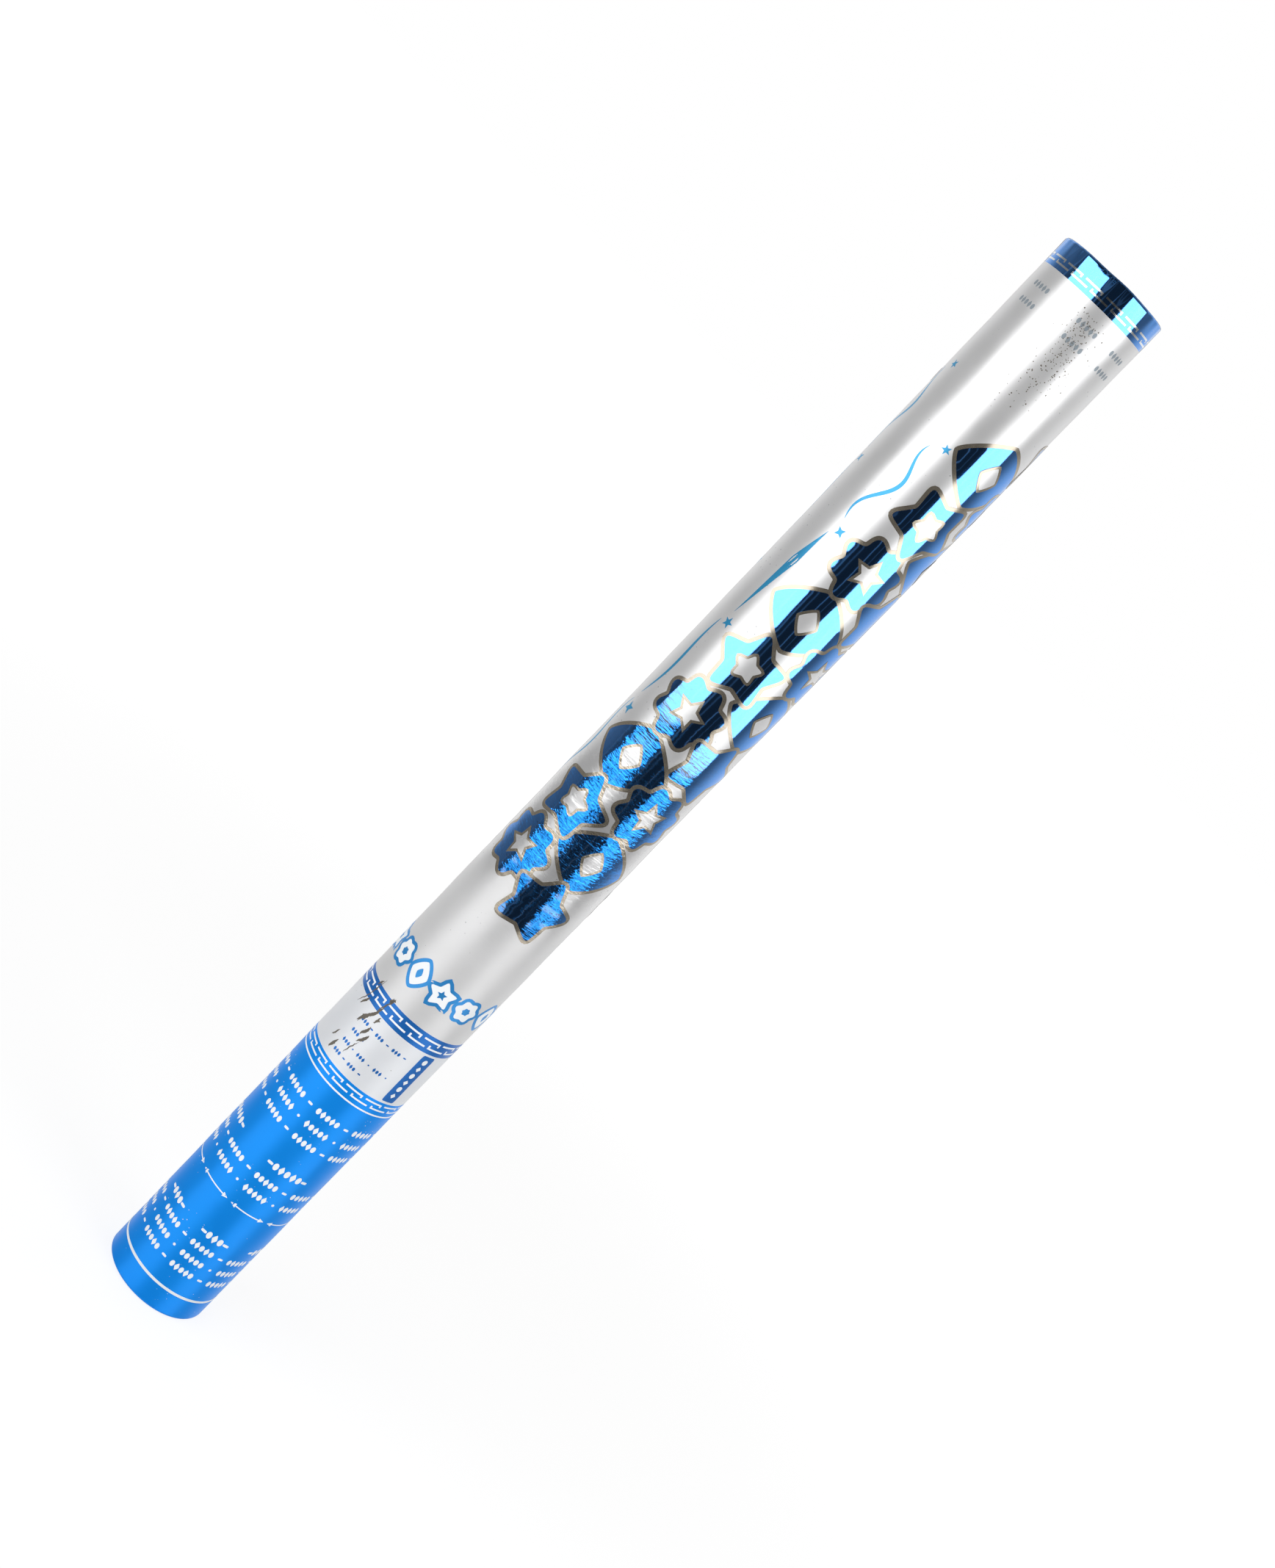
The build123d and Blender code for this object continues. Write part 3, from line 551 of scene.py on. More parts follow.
def filled(outlines, centres, rings):
    """Fill outlines (shapes, points, 2) with rings from their centres: centre + share of the way to the outline."""
    outlines, centres = np.asarray(outlines, float), np.asarray(centres, float)
    shapes, count = outlines.shape[:2]
    share = (np.arange(rings) + 1) / rings
    rows = centres[:, None, None] + share[None, :, None, None] * outlines[:, None]
    flat = np.concatenate([centres[:, None], rows.reshape(shapes, -1, 2)], axis=1)
    spoke = np.arange(count)
    beside = np.roll(spoke, -1)
    fans = together(0, 1 + spoke, 1 + beside)
    step = 1 + count * np.arange(rings - 1)[:, None]
    bands = together(step + spoke, step + count + spoke, step + count + beside, step + beside)
    return flat, [fans, bands.reshape(-1, 4)], 1 + (rings - 1) * count + spoke


def ribbons(lines, half_widths, columns=3):
    """Ribbons along lines (shapes, points, 2): each point moves sideways along the mitre of its two steps."""
    lines = np.asarray(lines, float)
    shapes, count = lines.shape[:2]
    side = right_normals(np.diff(lines, axis=1))
    joint = mitre(np.concatenate([side[:, :1], side], axis=1), np.concatenate([side, side[:, -1:]], axis=1))
    across = np.linspace(-1, 1, columns)[None, None, :, None]
    widths = np.broadcast_to(half_widths, (shapes, count))[..., None, None]
    flat = lines[:, :, None] + across * widths * joint[:, :, None]
    number = np.arange(count * columns).reshape(count, columns)
    rim = np.concatenate([number[0, :-1], number[:-1, -1], number[-1, :0:-1], number[:0:-1, 0]])
    return flat.reshape(shapes, -1, 2), [grid_quads(count, columns)], rim


print("points round a ribbon of 8:", len(ribbons([np.indices((8, 2))[0]], 1.0)[2]))

# %% [markdown]
# ## Laying the print
# A flat shape becomes a closed plate: one sheet a little above the film, one sunk below it, and a wall round the rim.
# Solidify could thicken a sheet too, but this way both sheets follow the film.

# %% Plates on the film
PLATE = 0.3
LIFT = 0.03


def stamp(name, groups, material, layer=1):
    """Lay groups of flat shapes on the film as closed plates PLATE deep, in layers LIFT apart."""
    points, faces, first = [], [], 0
    for flat, patches, rim in groups:
        shapes, size = flat.shape[:2]
        sheets = [on_film(flat[..., 0], flat[..., 1], layer * LIFT - drop) for drop in (0, PLATE)]
        points.append(np.concatenate(sheets, axis=1).reshape(-1, 3))
        after = np.roll(rim, -1)
        walls = together(after, rim, rim + size, after + size)
        start = first + 2 * size * np.arange(shapes)[:, None, None]
        for corners in [*patches, *[patch[:, ::-1] + size for patch in patches], walls]:
            faces += (corners + start).reshape(-1, corners.shape[1]).tolist()
        first += 2 * size * shapes
    return make_piece(name, np.concatenate(points), faces, [material], "barrel")


print("plates are", PLATE, "mm deep, in layers", LIFT, "mm apart")

# %% [markdown]
# ## Key borders
# Bands of the old Greek key frame the print: two rows of white hooks on blue, the upper row hooking down at its right
# end and the lower one up at its left. Each hook is a ribbon along an L-shaped line.

# %% Key borders
KEY_COUNT = 15
RUN, RUN_POINTS = 0.8, 8  # length of a hook as a share of the pitch, and its points
UPPER_START, LOWER_END = 0.15, 1.4  # where the hooks start and end, as shares of the pitch
# Heights of the two rows, half width of a line and length of a leg, in mm.
PANEL_KEY, FOOT_KEY, MUZZLE_KEY = (180.9, 177.2, 0.45, 1.7), (142.1, 139.3, 0.4, 1.2), (592.3, 589.9, 0.38, 1.1)


def key_hooks(z_high, z_low, half_width, hook):
    """Two rings of hooks: a line of 0.8 pitch at each height, with a leg of length hook at one end."""
    pitch = GIRTH / KEY_COUNT
    run = np.concatenate([np.linspace(0, RUN * pitch, RUN_POINTS), [RUN * pitch] * 2])
    leg = np.concatenate([np.zeros(RUN_POINTS), [hook / 2, hook]])
    step = np.arange(KEY_COUNT)[:, None] * pitch
    upper = together(step + UPPER_START * pitch + run, z_high - leg)
    lower = together(step + LOWER_END * pitch - run[::-1], z_low + leg[::-1])
    return [ribbons(upper, half_width), ribbons(lower, half_width)]


stamp("key_hooks", key_hooks(*PANEL_KEY) + key_hooks(*FOOT_KEY), white_ink)
stamp("muzzle_key_hooks", key_hooks(*MUZZLE_KEY), bright_foil)

# %% [markdown]
# ## Rows of beads on the foot
# The blue foot carries rows of small white ornament after the old bead and reel: ovals and lozenges strung between
# dashes and dots. Every bead is a superellipse, which runs from a lozenge at power 1 through an oval at 2 to a dash at
# 4, so one formula draws all. A row repeats one short string a whole number of times, so it closes round the tube.

# %% Bead rows
BEADS = {"o": (0.62, 0.95, 2), "v": (0.66, 1.2, 1.1), "b": (0.72, 0.34, 4), "d": (0.4, 0.4, 2)}
BEAD_PITCH = 1.6
BEAD_POINTS = 12


def bead_row(z, size, string, span=(0, GIRTH)):
    """Beads of half height size along a row. String holds o (oval), v (lozenge), b (dash), d (dot) and gaps, and is
    repeated as often as comes nearest to the even pitch."""
    length = span[1] - span[0]
    string = string * max(1, round(length / (len(string) * size * BEAD_PITCH)))
    places = [k for k, letter in enumerate(string) if letter in BEADS]
    beads = [BEADS[string[k]] for k in places]
    outlines = [superellipse(size * wide, size * high, power, BEAD_POINTS) for wide, high, power in beads]
    return filled(outlines, [(span[0] + (k + 0.5) * length / len(string), z) for k in places], 1)


ROWS = [(24.0, 1.7, "ovovo b "), (31.2, 1.7, "oovoo d "), (38.4, 1.7, "ovovo b "), (45.8, 2.0, "bovob    "),
        (74.6, 1.7, "vovov d "), (82.4, 1.7, "oovoo b "), (91.2, 2.0, "bovovob      "), (108.0, 1.7, "ovovo b "),
        (116.0, 1.7, "vovov d "), (124.0, 1.7, "ovovo b ")]
stamp("foot_beads", [bead_row(*row) for row in ROWS], white_ink)

# %% [markdown]
# ## A ring of arrows
# Half-way up the foot runs a ring of thin double-ended arrows, a common printer's ornament. Each is one ribbon whose
# width jumps from shaft to head, which needs no outline of its own.

# %% Ring of double-ended arrows
ARROWS, ARROW_Z = 8, 64.8
ARROW_START, ARROW_SHARE = 0.06, 0.88  # of the pitch
HEAD, JUMP = 2.6, 0.05
TIP_HALF, HEAD_HALF, SHAFT_HALF, SHAFT_POINTS = 0.08, 1.15, 0.3, 14
pitch = GIRTH / ARROWS
start = (np.arange(ARROWS) * pitch + ARROW_START * pitch)[:, None]
end = ARROW_SHARE * pitch
line = np.concatenate([[0, HEAD], np.linspace(HEAD + JUMP, end - HEAD - JUMP, SHAFT_POINTS), [end - HEAD, end]])
half = np.concatenate([[TIP_HALF, HEAD_HALF], np.full(SHAFT_POINTS, SHAFT_HALF), [HEAD_HALF, TIP_HALF]])
stamp("foot_arrows", [ribbons(together(start + line, ARROW_Z), half)], white_ink)

# %% [markdown]
# ## The silver panel
# Between the two key borders lies a silver panel with small blue beads and an upright blue bar, once on the front and
# once on the back. The beads come from the same rows, and the bar is a superellipse of high power, so its corners are
# only just round.

# %% Silver panel
HALF_TURN = GIRTH / 2
PANEL_LEFT, PANEL_BEAD = 14, 1.0
PANEL_ROWS = ((167.5, "ovo b ", 15), (161.0, "ovo b ", -4), (155.0, "vov d ", 15), (149.0, "ovo b ", 5))
BAR_S, BAR_Z, BAR, BAR_RINGS = 22.4, 159.3, (3.6, 14.2, 14, 96), 8
BAR_BEADS, BAR_BEAD, BAR_FOOT, BAR_STEP = 6, (1.3, 1.5), 149, 4.2
panel_rows, bars, bar_beads = [], [], []
for side in (0, HALF_TURN):
    panel_rows += [bead_row(z, PANEL_BEAD, string, (side - PANEL_LEFT, side + end)) for z, string, end in PANEL_ROWS]
    bars.append(filled([superellipse(*BAR)], [(side + BAR_S, BAR_Z)], BAR_RINGS))
    stack = [(side + BAR_S, BAR_FOOT + BAR_STEP * k) for k in range(BAR_BEADS)]
    beads = [superellipse(*BAR_BEAD, 1 + k % 2, BEAD_POINTS) for k in range(BAR_BEADS)]
    bar_beads.append(filled(beads, stack, 1))
stamp("panel_beads", panel_rows, blue_ink)
stamp("panel_bars", bars, blue_ink)
stamp("panel_bar_beads", bar_beads, white_ink, 2)

# %% [markdown]
# ## A ring of outlined shapes
# Above the panel runs a ring of white rosettes, stars and lozenges with wide blue edges and blue centres. The edge is a
# bigger plate of the same outline below the white one.

# %% Outlined ring
RING_REPEATS, RING_Z, RING_START = 4, 200.6, 0.35
RING_EDGE = 1.7
RING_TURN = math.pi / 2 + 0.2
ring_fills = [soft_star(7.0, 0.56, 5, RING_TURN, 60), rosette(5.6, 6, 0, 60), superellipse(4.8, 6.4, 1.3, 60)]
ring_centres = [star(2.4, 0.5, 5, RING_TURN, 40), rosette(2.0, 6, 0, 40), superellipse(1.5, 2.6, 1.3, 40)]
ring_fills, ring_centres = ring_fills * RING_REPEATS, ring_centres * RING_REPEATS
ring_edges = [grown(shape, RING_EDGE) for shape in ring_fills]
places = [((k + RING_START) * GIRTH / len(ring_fills), RING_Z) for k in range(len(ring_fills))]
stamp("ring_edges", [filled(ring_edges, places, 6)], sky_ink)
stamp("ring_fills", [filled(ring_fills, places, 5)], white_ink, 2)
stamp("ring_centres", [filled(ring_centres, places, 3)], sky_ink, 3)

# %% [markdown]
# ## Stamped foil shapes
# The main decoration is stamped in blue mirror foil with a taupe edge. Stars, rosettes and lozenges take turns in two
# bands that climb the tube on a slant, one on each side. In a band they stand in two columns, one half a step higher
# than the other, and overlap a little, as spilt coins do. Most have a silver opening with a taupe edge of its own.
# Shapes this large need rings of points to bend round the tube. No shape has a neighbour of its own kind, so each kind
# can have one layer: lozenges lowest, then rosettes, then stars.

# %% Places of the foil shapes
BAND_SHAPES, SHAPE_STEP, COLUMN = 19, 15.0, 13.5
BAND_LOW = 257.0
BAND_STARTS, BAND_SLANTS = (-6.0, 68.0), (0.155, 0.095)
KINDS = ("lozenge", "rosette", "star")
POINTS, OPENING_POINTS = 160, 80
rng = np.random.default_rng(7)


def band_middle(z, band):
    """Arc length of a band's middle at height z: its start plus its slant times the height above the band's foot."""
    return BAND_STARTS[band] + BAND_SLANTS[band] * (z - BAND_LOW)


foil = {kind: ([], []) for kind in (*KINDS, "opening")}
for band in range(2):
    for k in range(BAND_SHAPES):
        z = BAND_LOW + SHAPE_STEP * k
        turn = rng.uniform(0, 2 * np.pi)
        kind, shape, opening = (
            ("star", soft_star(17.2, 0.58, 5, turn, POINTS), soft_star(6.4, 0.58, 5, turn, OPENING_POINTS)),
            ("rosette", rosette(15.4, 8, turn, POINTS), star(5.8, 0.5, 5, turn, OPENING_POINTS)),
            ("lozenge", superellipse(18.5, 15.0, 1.25, POINTS), superellipse(4.4, 5.6, 1.15, OPENING_POINTS)))[k % 3]
        place = (band_middle(z, band) + COLUMN * (-1) ** k, z)
        for name, outline in ((kind, shape), ("opening", opening))[:1 + (k % 6 > 0)]:
            foil[name][0].append(outline)
            foil[name][1].append(place)
print("foil shapes:", {kind: len(outlines) for kind, (outlines, places) in foil.items()})

# %% Stamp the foil shapes
LAYERS_OF_FOIL = [(f"foil_{kind}_edges", f"foil_{kind}_shapes", kind, 1.7, 11, blue_foil) for kind in KINDS]
LAYERS_OF_FOIL.append(("opening_edges", "openings", "opening", 1.2, 5, silver_film))
for layer, (edge_name, shape_name, kind, edge, rings, material) in enumerate(LAYERS_OF_FOIL):
    shapes, places = foil[kind]
    edges = [grown(shape, edge) for shape in shapes]
    stamp(edge_name, [filled(edges, places, rings)], taupe_ink, 1 + 2 * layer)
    stamp(shape_name, [filled(shapes, places, rings)], material, 2 + 2 * layer)

# %% [markdown]
# ## Streamers
# In the wide silver gap between the bands thin teal streamers wave, one line of them beside each band. Each is a ribbon
# that tapers at both ends, and a few small sparks stand between them. They lie lowest of all the print.

# %% Streamers
GAP_SHIFTS, GAP_RISES = (-38.0, 38.0), (0.0, 26.0)  # mm to the side of each band's middle, and upwards
STREAMERS = [  # height of the foot, length, sway, waves and half width
    (300, 48, 2.0, 1.2, 0.7), (352, 46, 1.6, 0.8, 0.8), (404, 50, 0.6, 0.5, 1.9), (462, 44, 3.0, 1.3, 0.8)]
SPARK_HEIGHTS, SPARK_SHIFT = np.array([344.0, 399.0, 457.0, 509.0]), 3
END_HALF, PEAK = 0.06, 0.65  # half width of an end, and the share of its length where a wide streamer is widest
t = np.linspace(0, 1, 60)
sparks = [star(3.2 - 0.3 * k, 0.42, 4 + k % 2, 0.4 + k, 40) for k in range(len(SPARK_HEIGHTS))]
streamers = []
for band in range(2):
    for z, length, sway, waves, wide in STREAMERS:
        height = z + GAP_RISES[band] + length * t
        middle = band_middle(height, band) + GAP_SHIFTS[band]
        path = together(middle + sway * np.sin(2 * np.pi * waves * t + z), height)
        taper = np.where(t < PEAK, t / PEAK, (1 - t) / (1 - PEAK)) if wide > 1 else np.sin(np.pi * t) ** 0.7
        streamers.append(ribbons([path], [wide * taper + END_HALF]))
    height = SPARK_HEIGHTS + GAP_RISES[band]
    middle = band_middle(height, band) + GAP_SHIFTS[band] + SPARK_SHIFT
    streamers.append(filled(sparks, together(middle, height), 4))
stamp("streamers", streamers, teal_ink, 0.5)

# %% [markdown]
# ## Grey beads below the muzzle
# Two short rows of pale grey beads stand in six groups below the muzzle. They are rows like those on the foot, laid
# over a part of the turn only.

# %% Grey beads below the muzzle
GROUP_STARTS, GROUP_WIDE = (-28.0, -1.0, 19.0, 60.0, 84.0, 110.0), 11
GREY_HEIGHTS, GREY_BEAD = (571.0, 579.0), 1.3
groups = [(s, s + GROUP_WIDE) for s in GROUP_STARTS]
muzzle_rows = [bead_row(z, GREY_BEAD, "ovovo", group) for z in GREY_HEIGHTS for group in groups]
stamp("muzzle_beads", muzzle_rows, grey_ink)

# %% [markdown]
# ## Specks
# On the front and on the back the silver below the muzzle is sprinkled with dark specks, where the metal has worn off
# in points, more of them higher up. Each is a small oval plate. A scatter of points would do for the eye, but plates
# are part of the mesh, as all the print is.

# %% Specks
SPECKS = 440
SPECK_MIDDLE, SPECK_SPREAD = 4.5, 4.0
SPECK_TOP, SPECK_FALL, SPECK_SIZES = 584.0, 48.0, (0.1, 0.34)
speck_rng = np.random.default_rng(5)
speck_s = speck_rng.normal(SPECK_MIDDLE, SPECK_SPREAD, SPECKS) + HALF_TURN * (np.arange(SPECKS) % 2)
speck_z = SPECK_TOP - SPECK_FALL * speck_rng.beta(1.1, 1.9, SPECKS)
speck_size = speck_rng.uniform(*SPECK_SIZES, (SPECKS, 1, 2))
specks = filled(speck_size * superellipse(1, 1, 2, 8), together(speck_s, speck_z), 1)
stamp("muzzle_specks", [specks], scuffed, 2)

# %% [markdown]
# ## Scuffs
# Where the hand grips the panel the film is rubbed through to the paper, in thin torn slivers. Each is a ribbon along a
# short random walk that tapers to nothing.

# %% Scuffs
SCUFFS, SCUFF_POINTS = 16, 14
SCUFF_S, SCUFF_Z = (-24, -8), (146, 182)  # where they lie
SCUFF_LENGTHS, SCUFF_HALVES = (3, 11), (0.2, 0.75)
scuff_rng = np.random.default_rng(11)
walk = np.cumsum(scuff_rng.normal(0, 0.35, (SCUFFS, SCUFF_POINTS, 2)), axis=1)
share = np.linspace(0, 1, SCUFF_POINTS)
lean = scuff_rng.uniform(-0.5, 0.5, (SCUFFS, 1)) + share * scuff_rng.uniform(*SCUFF_LENGTHS, (SCUFFS, 1))
middle = together(scuff_rng.uniform(*SCUFF_S, SCUFFS), scuff_rng.uniform(*SCUFF_Z, SCUFFS))
paths = middle[:, None] + 0.5 * walk + together(0.35 * lean, lean)
taper = np.sin(np.pi * np.linspace(0.02, 0.98, SCUFF_POINTS))
widths = scuff_rng.uniform(*SCUFF_HALVES, (SCUFFS, 1)) * taper
stamp("scuffs", [ribbons(paths, widths)], scuffed, 3)

# %% [markdown]
# ## Springs
# A coil spring is a circle carried along a helix. At each step the circle stands on the radial direction and on the
# axis, and each end is closed by a face. The spring rides with the piece that pushes it.

# %% Coil springs
STEPS_PER_TURN, WIRE_POINTS = 36, 14


def coil(name, node, turn_count, wire, body):
    """Helix of the CAD spring's box: (R cos a, R sin a, rising evenly), with a wire circle (w cos b outwards,
    w sin b up). It fills the height of that box."""
    low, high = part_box(node)
    wire = wire * MM
    steps = STEPS_PER_TURN * turn_count + 1
    a = np.linspace(0, 2 * np.pi * turn_count, steps)[:, None]
    b = turns(WIRE_POINTS)
    reach = high.x - wire + wire * np.cos(b)
    rise = np.linspace(low.z + wire, high.z - wire, steps)[:, None] + wire * np.sin(b)
    points = together(reach * np.cos(a), reach * np.sin(a), rise)
    faces = grid_quads(steps, WIRE_POINTS, False, True)[:, ::-1].tolist()
    last = steps * WIRE_POINTS - 1
    faces += [list(range(WIRE_POINTS)), list(range(last, last - WIRE_POINTS, -1))]
    spring = make_piece(name, points, faces, [steel], body)
    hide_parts(node)
    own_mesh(spring)


coil("return_coil", "return_spring", 5, 0.45, "button")
coil("valve_coil", "valve_spring", 4, 0.35, "valve")

# %% [markdown]
# ## Confetti
# The charge is slips of metallised film, stacked flat and stood round an open core in seven layers. Each slip is a thin
# closed box, shifted a little in its stack, and a number per slip varies its shade.

# %% Slip finishes
SLIP_CREASE, SLIP_RELIEF = 5, 0.15


def slip_film(name, tones):
    """Metallised slip, a bright satin: the attribute slip_shade mixes two tones, and fine noise creases the sheet."""
    material, grow, shader, place = blank(name)
    shade = grow("Attribute", {"attribute_name": "slip_shade"}).outputs["Fac"]
    creases = grow("TexNoise", Vector=place, Scale=PER_MM / SLIP_CREASE, Detail=2.0)
    two_tone(grow, shader, tones, shade, creases, SLIP_RELIEF, Metallic=0.8, Roughness=0.28)
    return material


SLIP_TONES = {"gold": ("#c9962e", "#e8c25a"), "pink": ("#c9467f", "#ea86b0"),
              "blue": ("#1f6fc0", "#4f9fe6"), "silver": ("#aeb4ba", "#dfe3e6")}
slip_finishes = {colour: slip_film(f"metallised_slip_{colour}", tones) for colour, tones in SLIP_TONES.items()}

# %% Confetti stacks
CORE, SLIP_WIDE, STACK_DEEP, STACK_GAP = 7.5, 21.99, 6.02, 0.1
LAYER_PITCH, LAYERS, LAYER_TURN, SLIPS = 49.11, 7, 27.0, 22
INSET, SHIFT, SLIP_SHARE, SLIP_ROOM = 0.3, 0.25, 0.8, 0.02
CUBE = np.array([(x, y, z) for z in (0, 1) for y in (0, 1) for x in (0, 1)], float)
CUBE_QUADS = np.array([(0, 2, 3, 1), (4, 5, 7, 6), (0, 1, 5, 4), (2, 6, 7, 3), (0, 4, 6, 2), (1, 3, 7, 5)])
SLIP_DEEP = STACK_DEEP / SLIPS
size = np.array([SLIP_WIDE - 2 * INSET, SLIP_DEEP * SLIP_SHARE, LAYER_PITCH - STACK_GAP - 2 * INSET])
layer, slip = (part.ravel() for part in np.meshgrid(np.arange(LAYERS), np.arange(SLIPS), indexing="ij"))
quads = (CUBE_QUADS + 8 * np.arange(len(layer))[:, None, None]).reshape(-1, 4).tolist()
for number, (colour, finish) in enumerate(slip_finishes.items()):
    stack_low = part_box(f"confetti_{colour}")[0].z / MM
    shift = rng.uniform(-SHIFT, SHIFT, (len(layer), 2))
    corner = together(-CORE + INSET + shift[:, 0], CORE + STACK_GAP + slip * SLIP_DEEP + SLIP_ROOM,
                      stack_low + layer * LAYER_PITCH + INSET + shift[:, 1])
    x, y, z = np.moveaxis(corner[:, None] + CUBE * size, -1, 0)
    turn = np.radians(layer * LAYER_TURN - 90 * number)[:, None]
    spun = together(x * np.cos(turn) - y * np.sin(turn), x * np.sin(turn) + y * np.cos(turn), z)
    stack = make_piece(f"slips_{colour}", spun * MM, quads, [finish], "charge", False)
    shade = np.repeat(rng.uniform(0, 1, len(layer)), 8).astype(np.float32)
    stack.data.attributes.new("slip_shade", "FLOAT", "POINT").data.foreach_set("value", shade)
    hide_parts(f"confetti_{colour}")

# %% [markdown]
# ## The felt pad
# A punched disc of felt seals the gas behind the charge. Its section is a superellipse, so the edge is soft and the
# faces crown a little, and slow waves dent it. It is pressed hard and hardly gives, so a formula serves as well as a
# cloth simulation.

# %% Felt pad
FELT_ROWS, FELT_COLUMNS = 41, 96
SIDE_POWER, FACE_POWER = 7, 3
SIDE_ROOM, FACE_ROOM = 0.05, 0.12  # mm that the pad stays inside its solid
felt_low, felt_high = (np.array(corner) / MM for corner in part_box("felt_pad"))
v = np.linspace(-np.pi / 2, np.pi / 2, FELT_ROWS)[:, None]
u = turns(FELT_COLUMNS)
reach = (felt_high[0] - SIDE_ROOM) * np.abs(np.cos(v)) ** (2 / SIDE_POWER) * (1 - 0.002 * (1 + np.sin(5 * u)))
dents = 0.06 * np.sin(3 * u + 1) * np.sin(2 * v) + 0.04 * np.sin(7 * u)
half_high = (felt_high[2] - felt_low[2]) / 2 - FACE_ROOM
crown = half_high * np.sign(v) * np.abs(np.sin(v)) ** (2 / FACE_POWER)
felt_z = (felt_low[2] + felt_high[2]) / 2 + crown + dents * np.cos(v)
felt_points = together(reach * np.cos(u), reach * np.sin(u), felt_z)[1:-1]
poles = np.array([(0, 0, felt_low[2] + FACE_ROOM), (0, 0, felt_high[2] - FACE_ROOM)])
rows = len(felt_points)
faces = grid_quads(rows, FELT_COLUMNS, False, True).tolist()
first = np.arange(FELT_COLUMNS)
last, pole = first + (rows - 1) * FELT_COLUMNS, rows * FELT_COLUMNS
faces += together(pole, np.roll(first, -1), first).tolist() + together(pole + 1, last, np.roll(last, -1)).tolist()
felt = make_piece("felt_wad", np.concatenate([felt_points.reshape(-1, 3), poles]) * MM, faces, [wool_felt],
                  "charge")
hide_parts("felt_pad")

# %% [markdown]
# ## Floor and light
# The popper stands on a white sheet. Two soft boxes in front of it, left and right, give the two white streaks along
# the film. A shiny table would mirror them below itself, so a dimmer pair hangs there, and only a mirror that looks
# steeply down sees the white sheet. The room before the popper is dark, with a few dim upright lines, and the backdrop
# behind it is white. Mirror foil shows that as black with fine lines between the streaks, and light at the edges.

# %% Floor
FLOOR_HALF, FLOOR_DROP = 8, 0.0005
GLOW = (0.25, 1.3, 0.84, 1.0)  # a near and a far distance from the popper in metres, and the glow at each
floor_mesh = bpy.data.meshes.new("floor")
corners = [(x * FLOOR_HALF, y * FLOOR_HALF, 0) for x, y in ((-1, -1), (1, -1), (1, 1), (-1, 1))]
floor_mesh.from_pydata(corners, [], [(0, 1, 2, 3)])
floor = put("floor", floor_mesh)
floor.location.z = -FLOOR_DROP
floor.visible_glossy = False
# Matt paper: white to the eye, with only the soft shadow of the popper on it.
floor_paper, grow, shader, place = blank("white_background_paper")
plug(shader, Base_Color=linear("#f4f4f4"), Roughness=0.9)
away = grow("VectorMath", "LENGTH", place)
glow = grow("Emission", Color=(1, 1, 1, 1), Strength=grow("MapRange", SMOOTH, away, *GLOW))
seen = grow("AddShader", i0=glow, i1=grow("BsdfDiffuse", Color=linear("#888888")))
camera_ray = grow("LightPath").outputs["Is Camera Ray"]
mixed = grow("MixShader", i0=camera_ray, i1=shader, i2=seen)
plug(floor_paper.node_tree.nodes["Material Output"], Surface=mixed)
floor_mesh.materials.append(floor_paper)
print("floor laid,", 2 * FLOOR_HALF, "m wide")

# %% Backdrop and dark room
world = bpy.data.worlds.new("studio")
bpy.context.scene.world = world
world.use_nodes = True
grow = partial(add, world.node_tree)
axes = grow("SeparateXYZ", Vector=grow("TexCoord").outputs["Generated"]).outputs
# The white backdrop: behind the popper, apart from a gap straight behind it.
lean = grow("Math", "MULTIPLY_ADD", axes["X"], 0.12, axes["Y"])
behind = grow("MapRange", SMOOTH, lean, 0.1, 0.9)
aside = grow("Math", "ABSOLUTE", axes["X"])
beside = grow("MapRange", SMOOTH, aside, 0.1, 0.35)
backdrop = grow("Math", "MULTIPLY", behind, beside)
# The dark room: near black in front, grey at the flanks, with dim lines that depend on the azimuth alone.
flank = grow("MapRange", SMOOTH, axes["Y"], -0.6, 0.1, 0.03, 0.22)
azimuth = grow("Math", "ARCTAN2", axes["X"], axes["Y"])
lines = grow("TexNoise", {"noise_dimensions": "1D"}, W=azimuth, Scale=7.0, Detail=2.0)
dim_lines = grow("MapRange", EVEN, lines, 0.58, 0.68, 0.0, 0.3)
dark = grow("Math", "MAXIMUM", flank, dim_lines)
room = grow("MapRange", Value=backdrop, To_Min=dark, To_Max=1.0)
# The white sheet, seen steeply downwards.
sheet = grow("MapRange", SMOOTH, axes["Z"], -0.9, -0.65, 0.85, 0.0)
mirrored = grow("Math", "MAXIMUM", room, sheet)
print("room drawn with", len(world.node_tree.nodes), "nodes")

# %% What each kind of ray sees
rays = grow("LightPath").outputs
shiny = grow("Math", "MAXIMUM", rays["Is Glossy Ray"], rays["Is Transmission Ray"])
soft_light = grow("MapRange", Value=backdrop, To_Min=0.25, To_Max=0.9)
level = grow("Mix", i0=shiny, i2=soft_light, i3=mirrored)
level = grow("Mix", i0=rays["Is Camera Ray"], i2=level, i3=1.0)
plug(world.node_tree.nodes["Background"], Color=(1, 1, 1, 1), Strength=level)
print("camera sees white, mirrors the room, dull surfaces soft light")

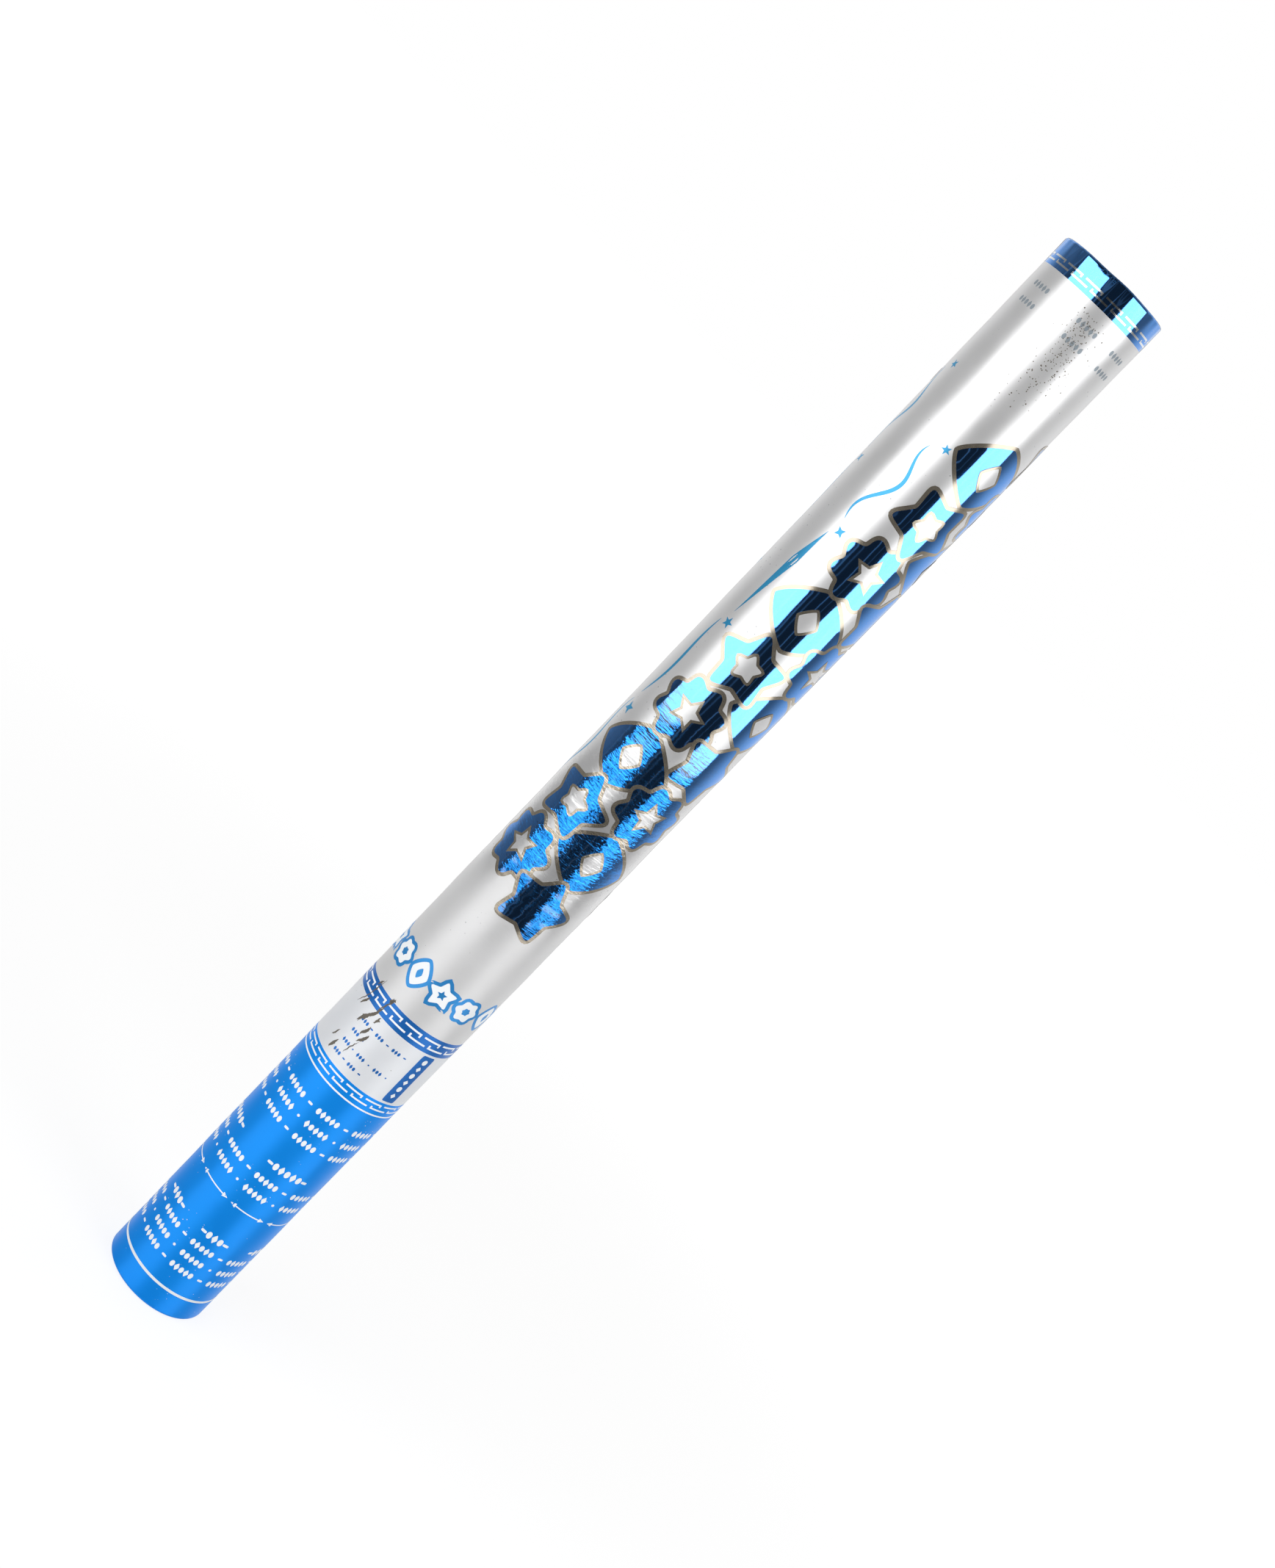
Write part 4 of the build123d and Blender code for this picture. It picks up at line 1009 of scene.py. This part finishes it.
# %% Soft boxes
BOX_DISTANCE = 1.1
BOXES = (("left", -37, 28.5), ("right", 63, 20))  # azimuth from the front and half angle, in degrees
HEIGHTS = (("soft_box", 3.0, 0.12, 0.95), ("mirrored_box", 1.6, -0.9, -0.11))  # radiance, foot and head in metres


def soft_box(name, azimuth, half_angle, radiance, low, high):
    """Upright rectangle facing the tube: width 2 d tan(half angle), and power = radiance x pi x area."""
    data = bpy.data.lights.new(name, "AREA")
    data.shape = "RECTANGLE"
    data.size, data.size_y = 2 * BOX_DISTANCE * math.tan(math.radians(half_angle)), high - low
    data.energy = radiance * math.pi * data.size * data.size_y
    lamp = put(name, data)
    a = math.radians(azimuth)
    inwards = Vector((-math.sin(a), math.cos(a), 0))
    lamp.location = -BOX_DISTANCE * inwards + Vector((0, 0, (low + high) / 2))
    lamp.rotation_euler = inwards.to_track_quat("-Z", "Y").to_euler()
    lamp.visible_camera = False
    print(f"{name}: {data.size:.2f} x {data.size_y:.2f} m, {data.energy:.1f} W")


for side, azimuth, half_angle in BOXES:
    for kind, radiance, low, high in HEIGHTS:
        soft_box(f"{kind}_{side}", azimuth, half_angle, radiance, low, high)

# %% [markdown]
# ## Camera
# The photograph looks down at the tube's middle from a little below the height of the muzzle, and is rolled so that the
# tube runs from the lower left to the upper right. The lens is 50.8 mm on a sensor of 36 mm along the longer side.

# %% Camera
ELEVATION, ROLL, DISTANCE = math.radians(12.74), math.radians(44.03), 0.936
AIM = Vector((0.002, 0.0, 0.320))
lens = bpy.data.cameras.new("camera")
lens.lens, lens.sensor_width = 50.8, 36.0
lens.clip_start, lens.clip_end = 0.01, 100.0
camera = put("camera", lens)
back = Vector((0, -math.cos(ELEVATION), math.sin(ELEVATION)))
level_up = Vector((0, math.sin(ELEVATION), math.cos(ELEVATION)))
right = math.cos(ROLL) * Vector((1, 0, 0)) + math.sin(ROLL) * level_up
up = math.cos(ROLL) * level_up - math.sin(ROLL) * Vector((1, 0, 0))
camera.matrix_world = Matrix.Translation(AIM + DISTANCE * back) @ Matrix((right, up, back)).transposed().to_4x4()
bpy.context.scene.camera = camera
bpy.context.scene.view_settings.view_transform = "Standard"
print("camera at", [round(c, 3) for c in camera.matrix_world.translation])
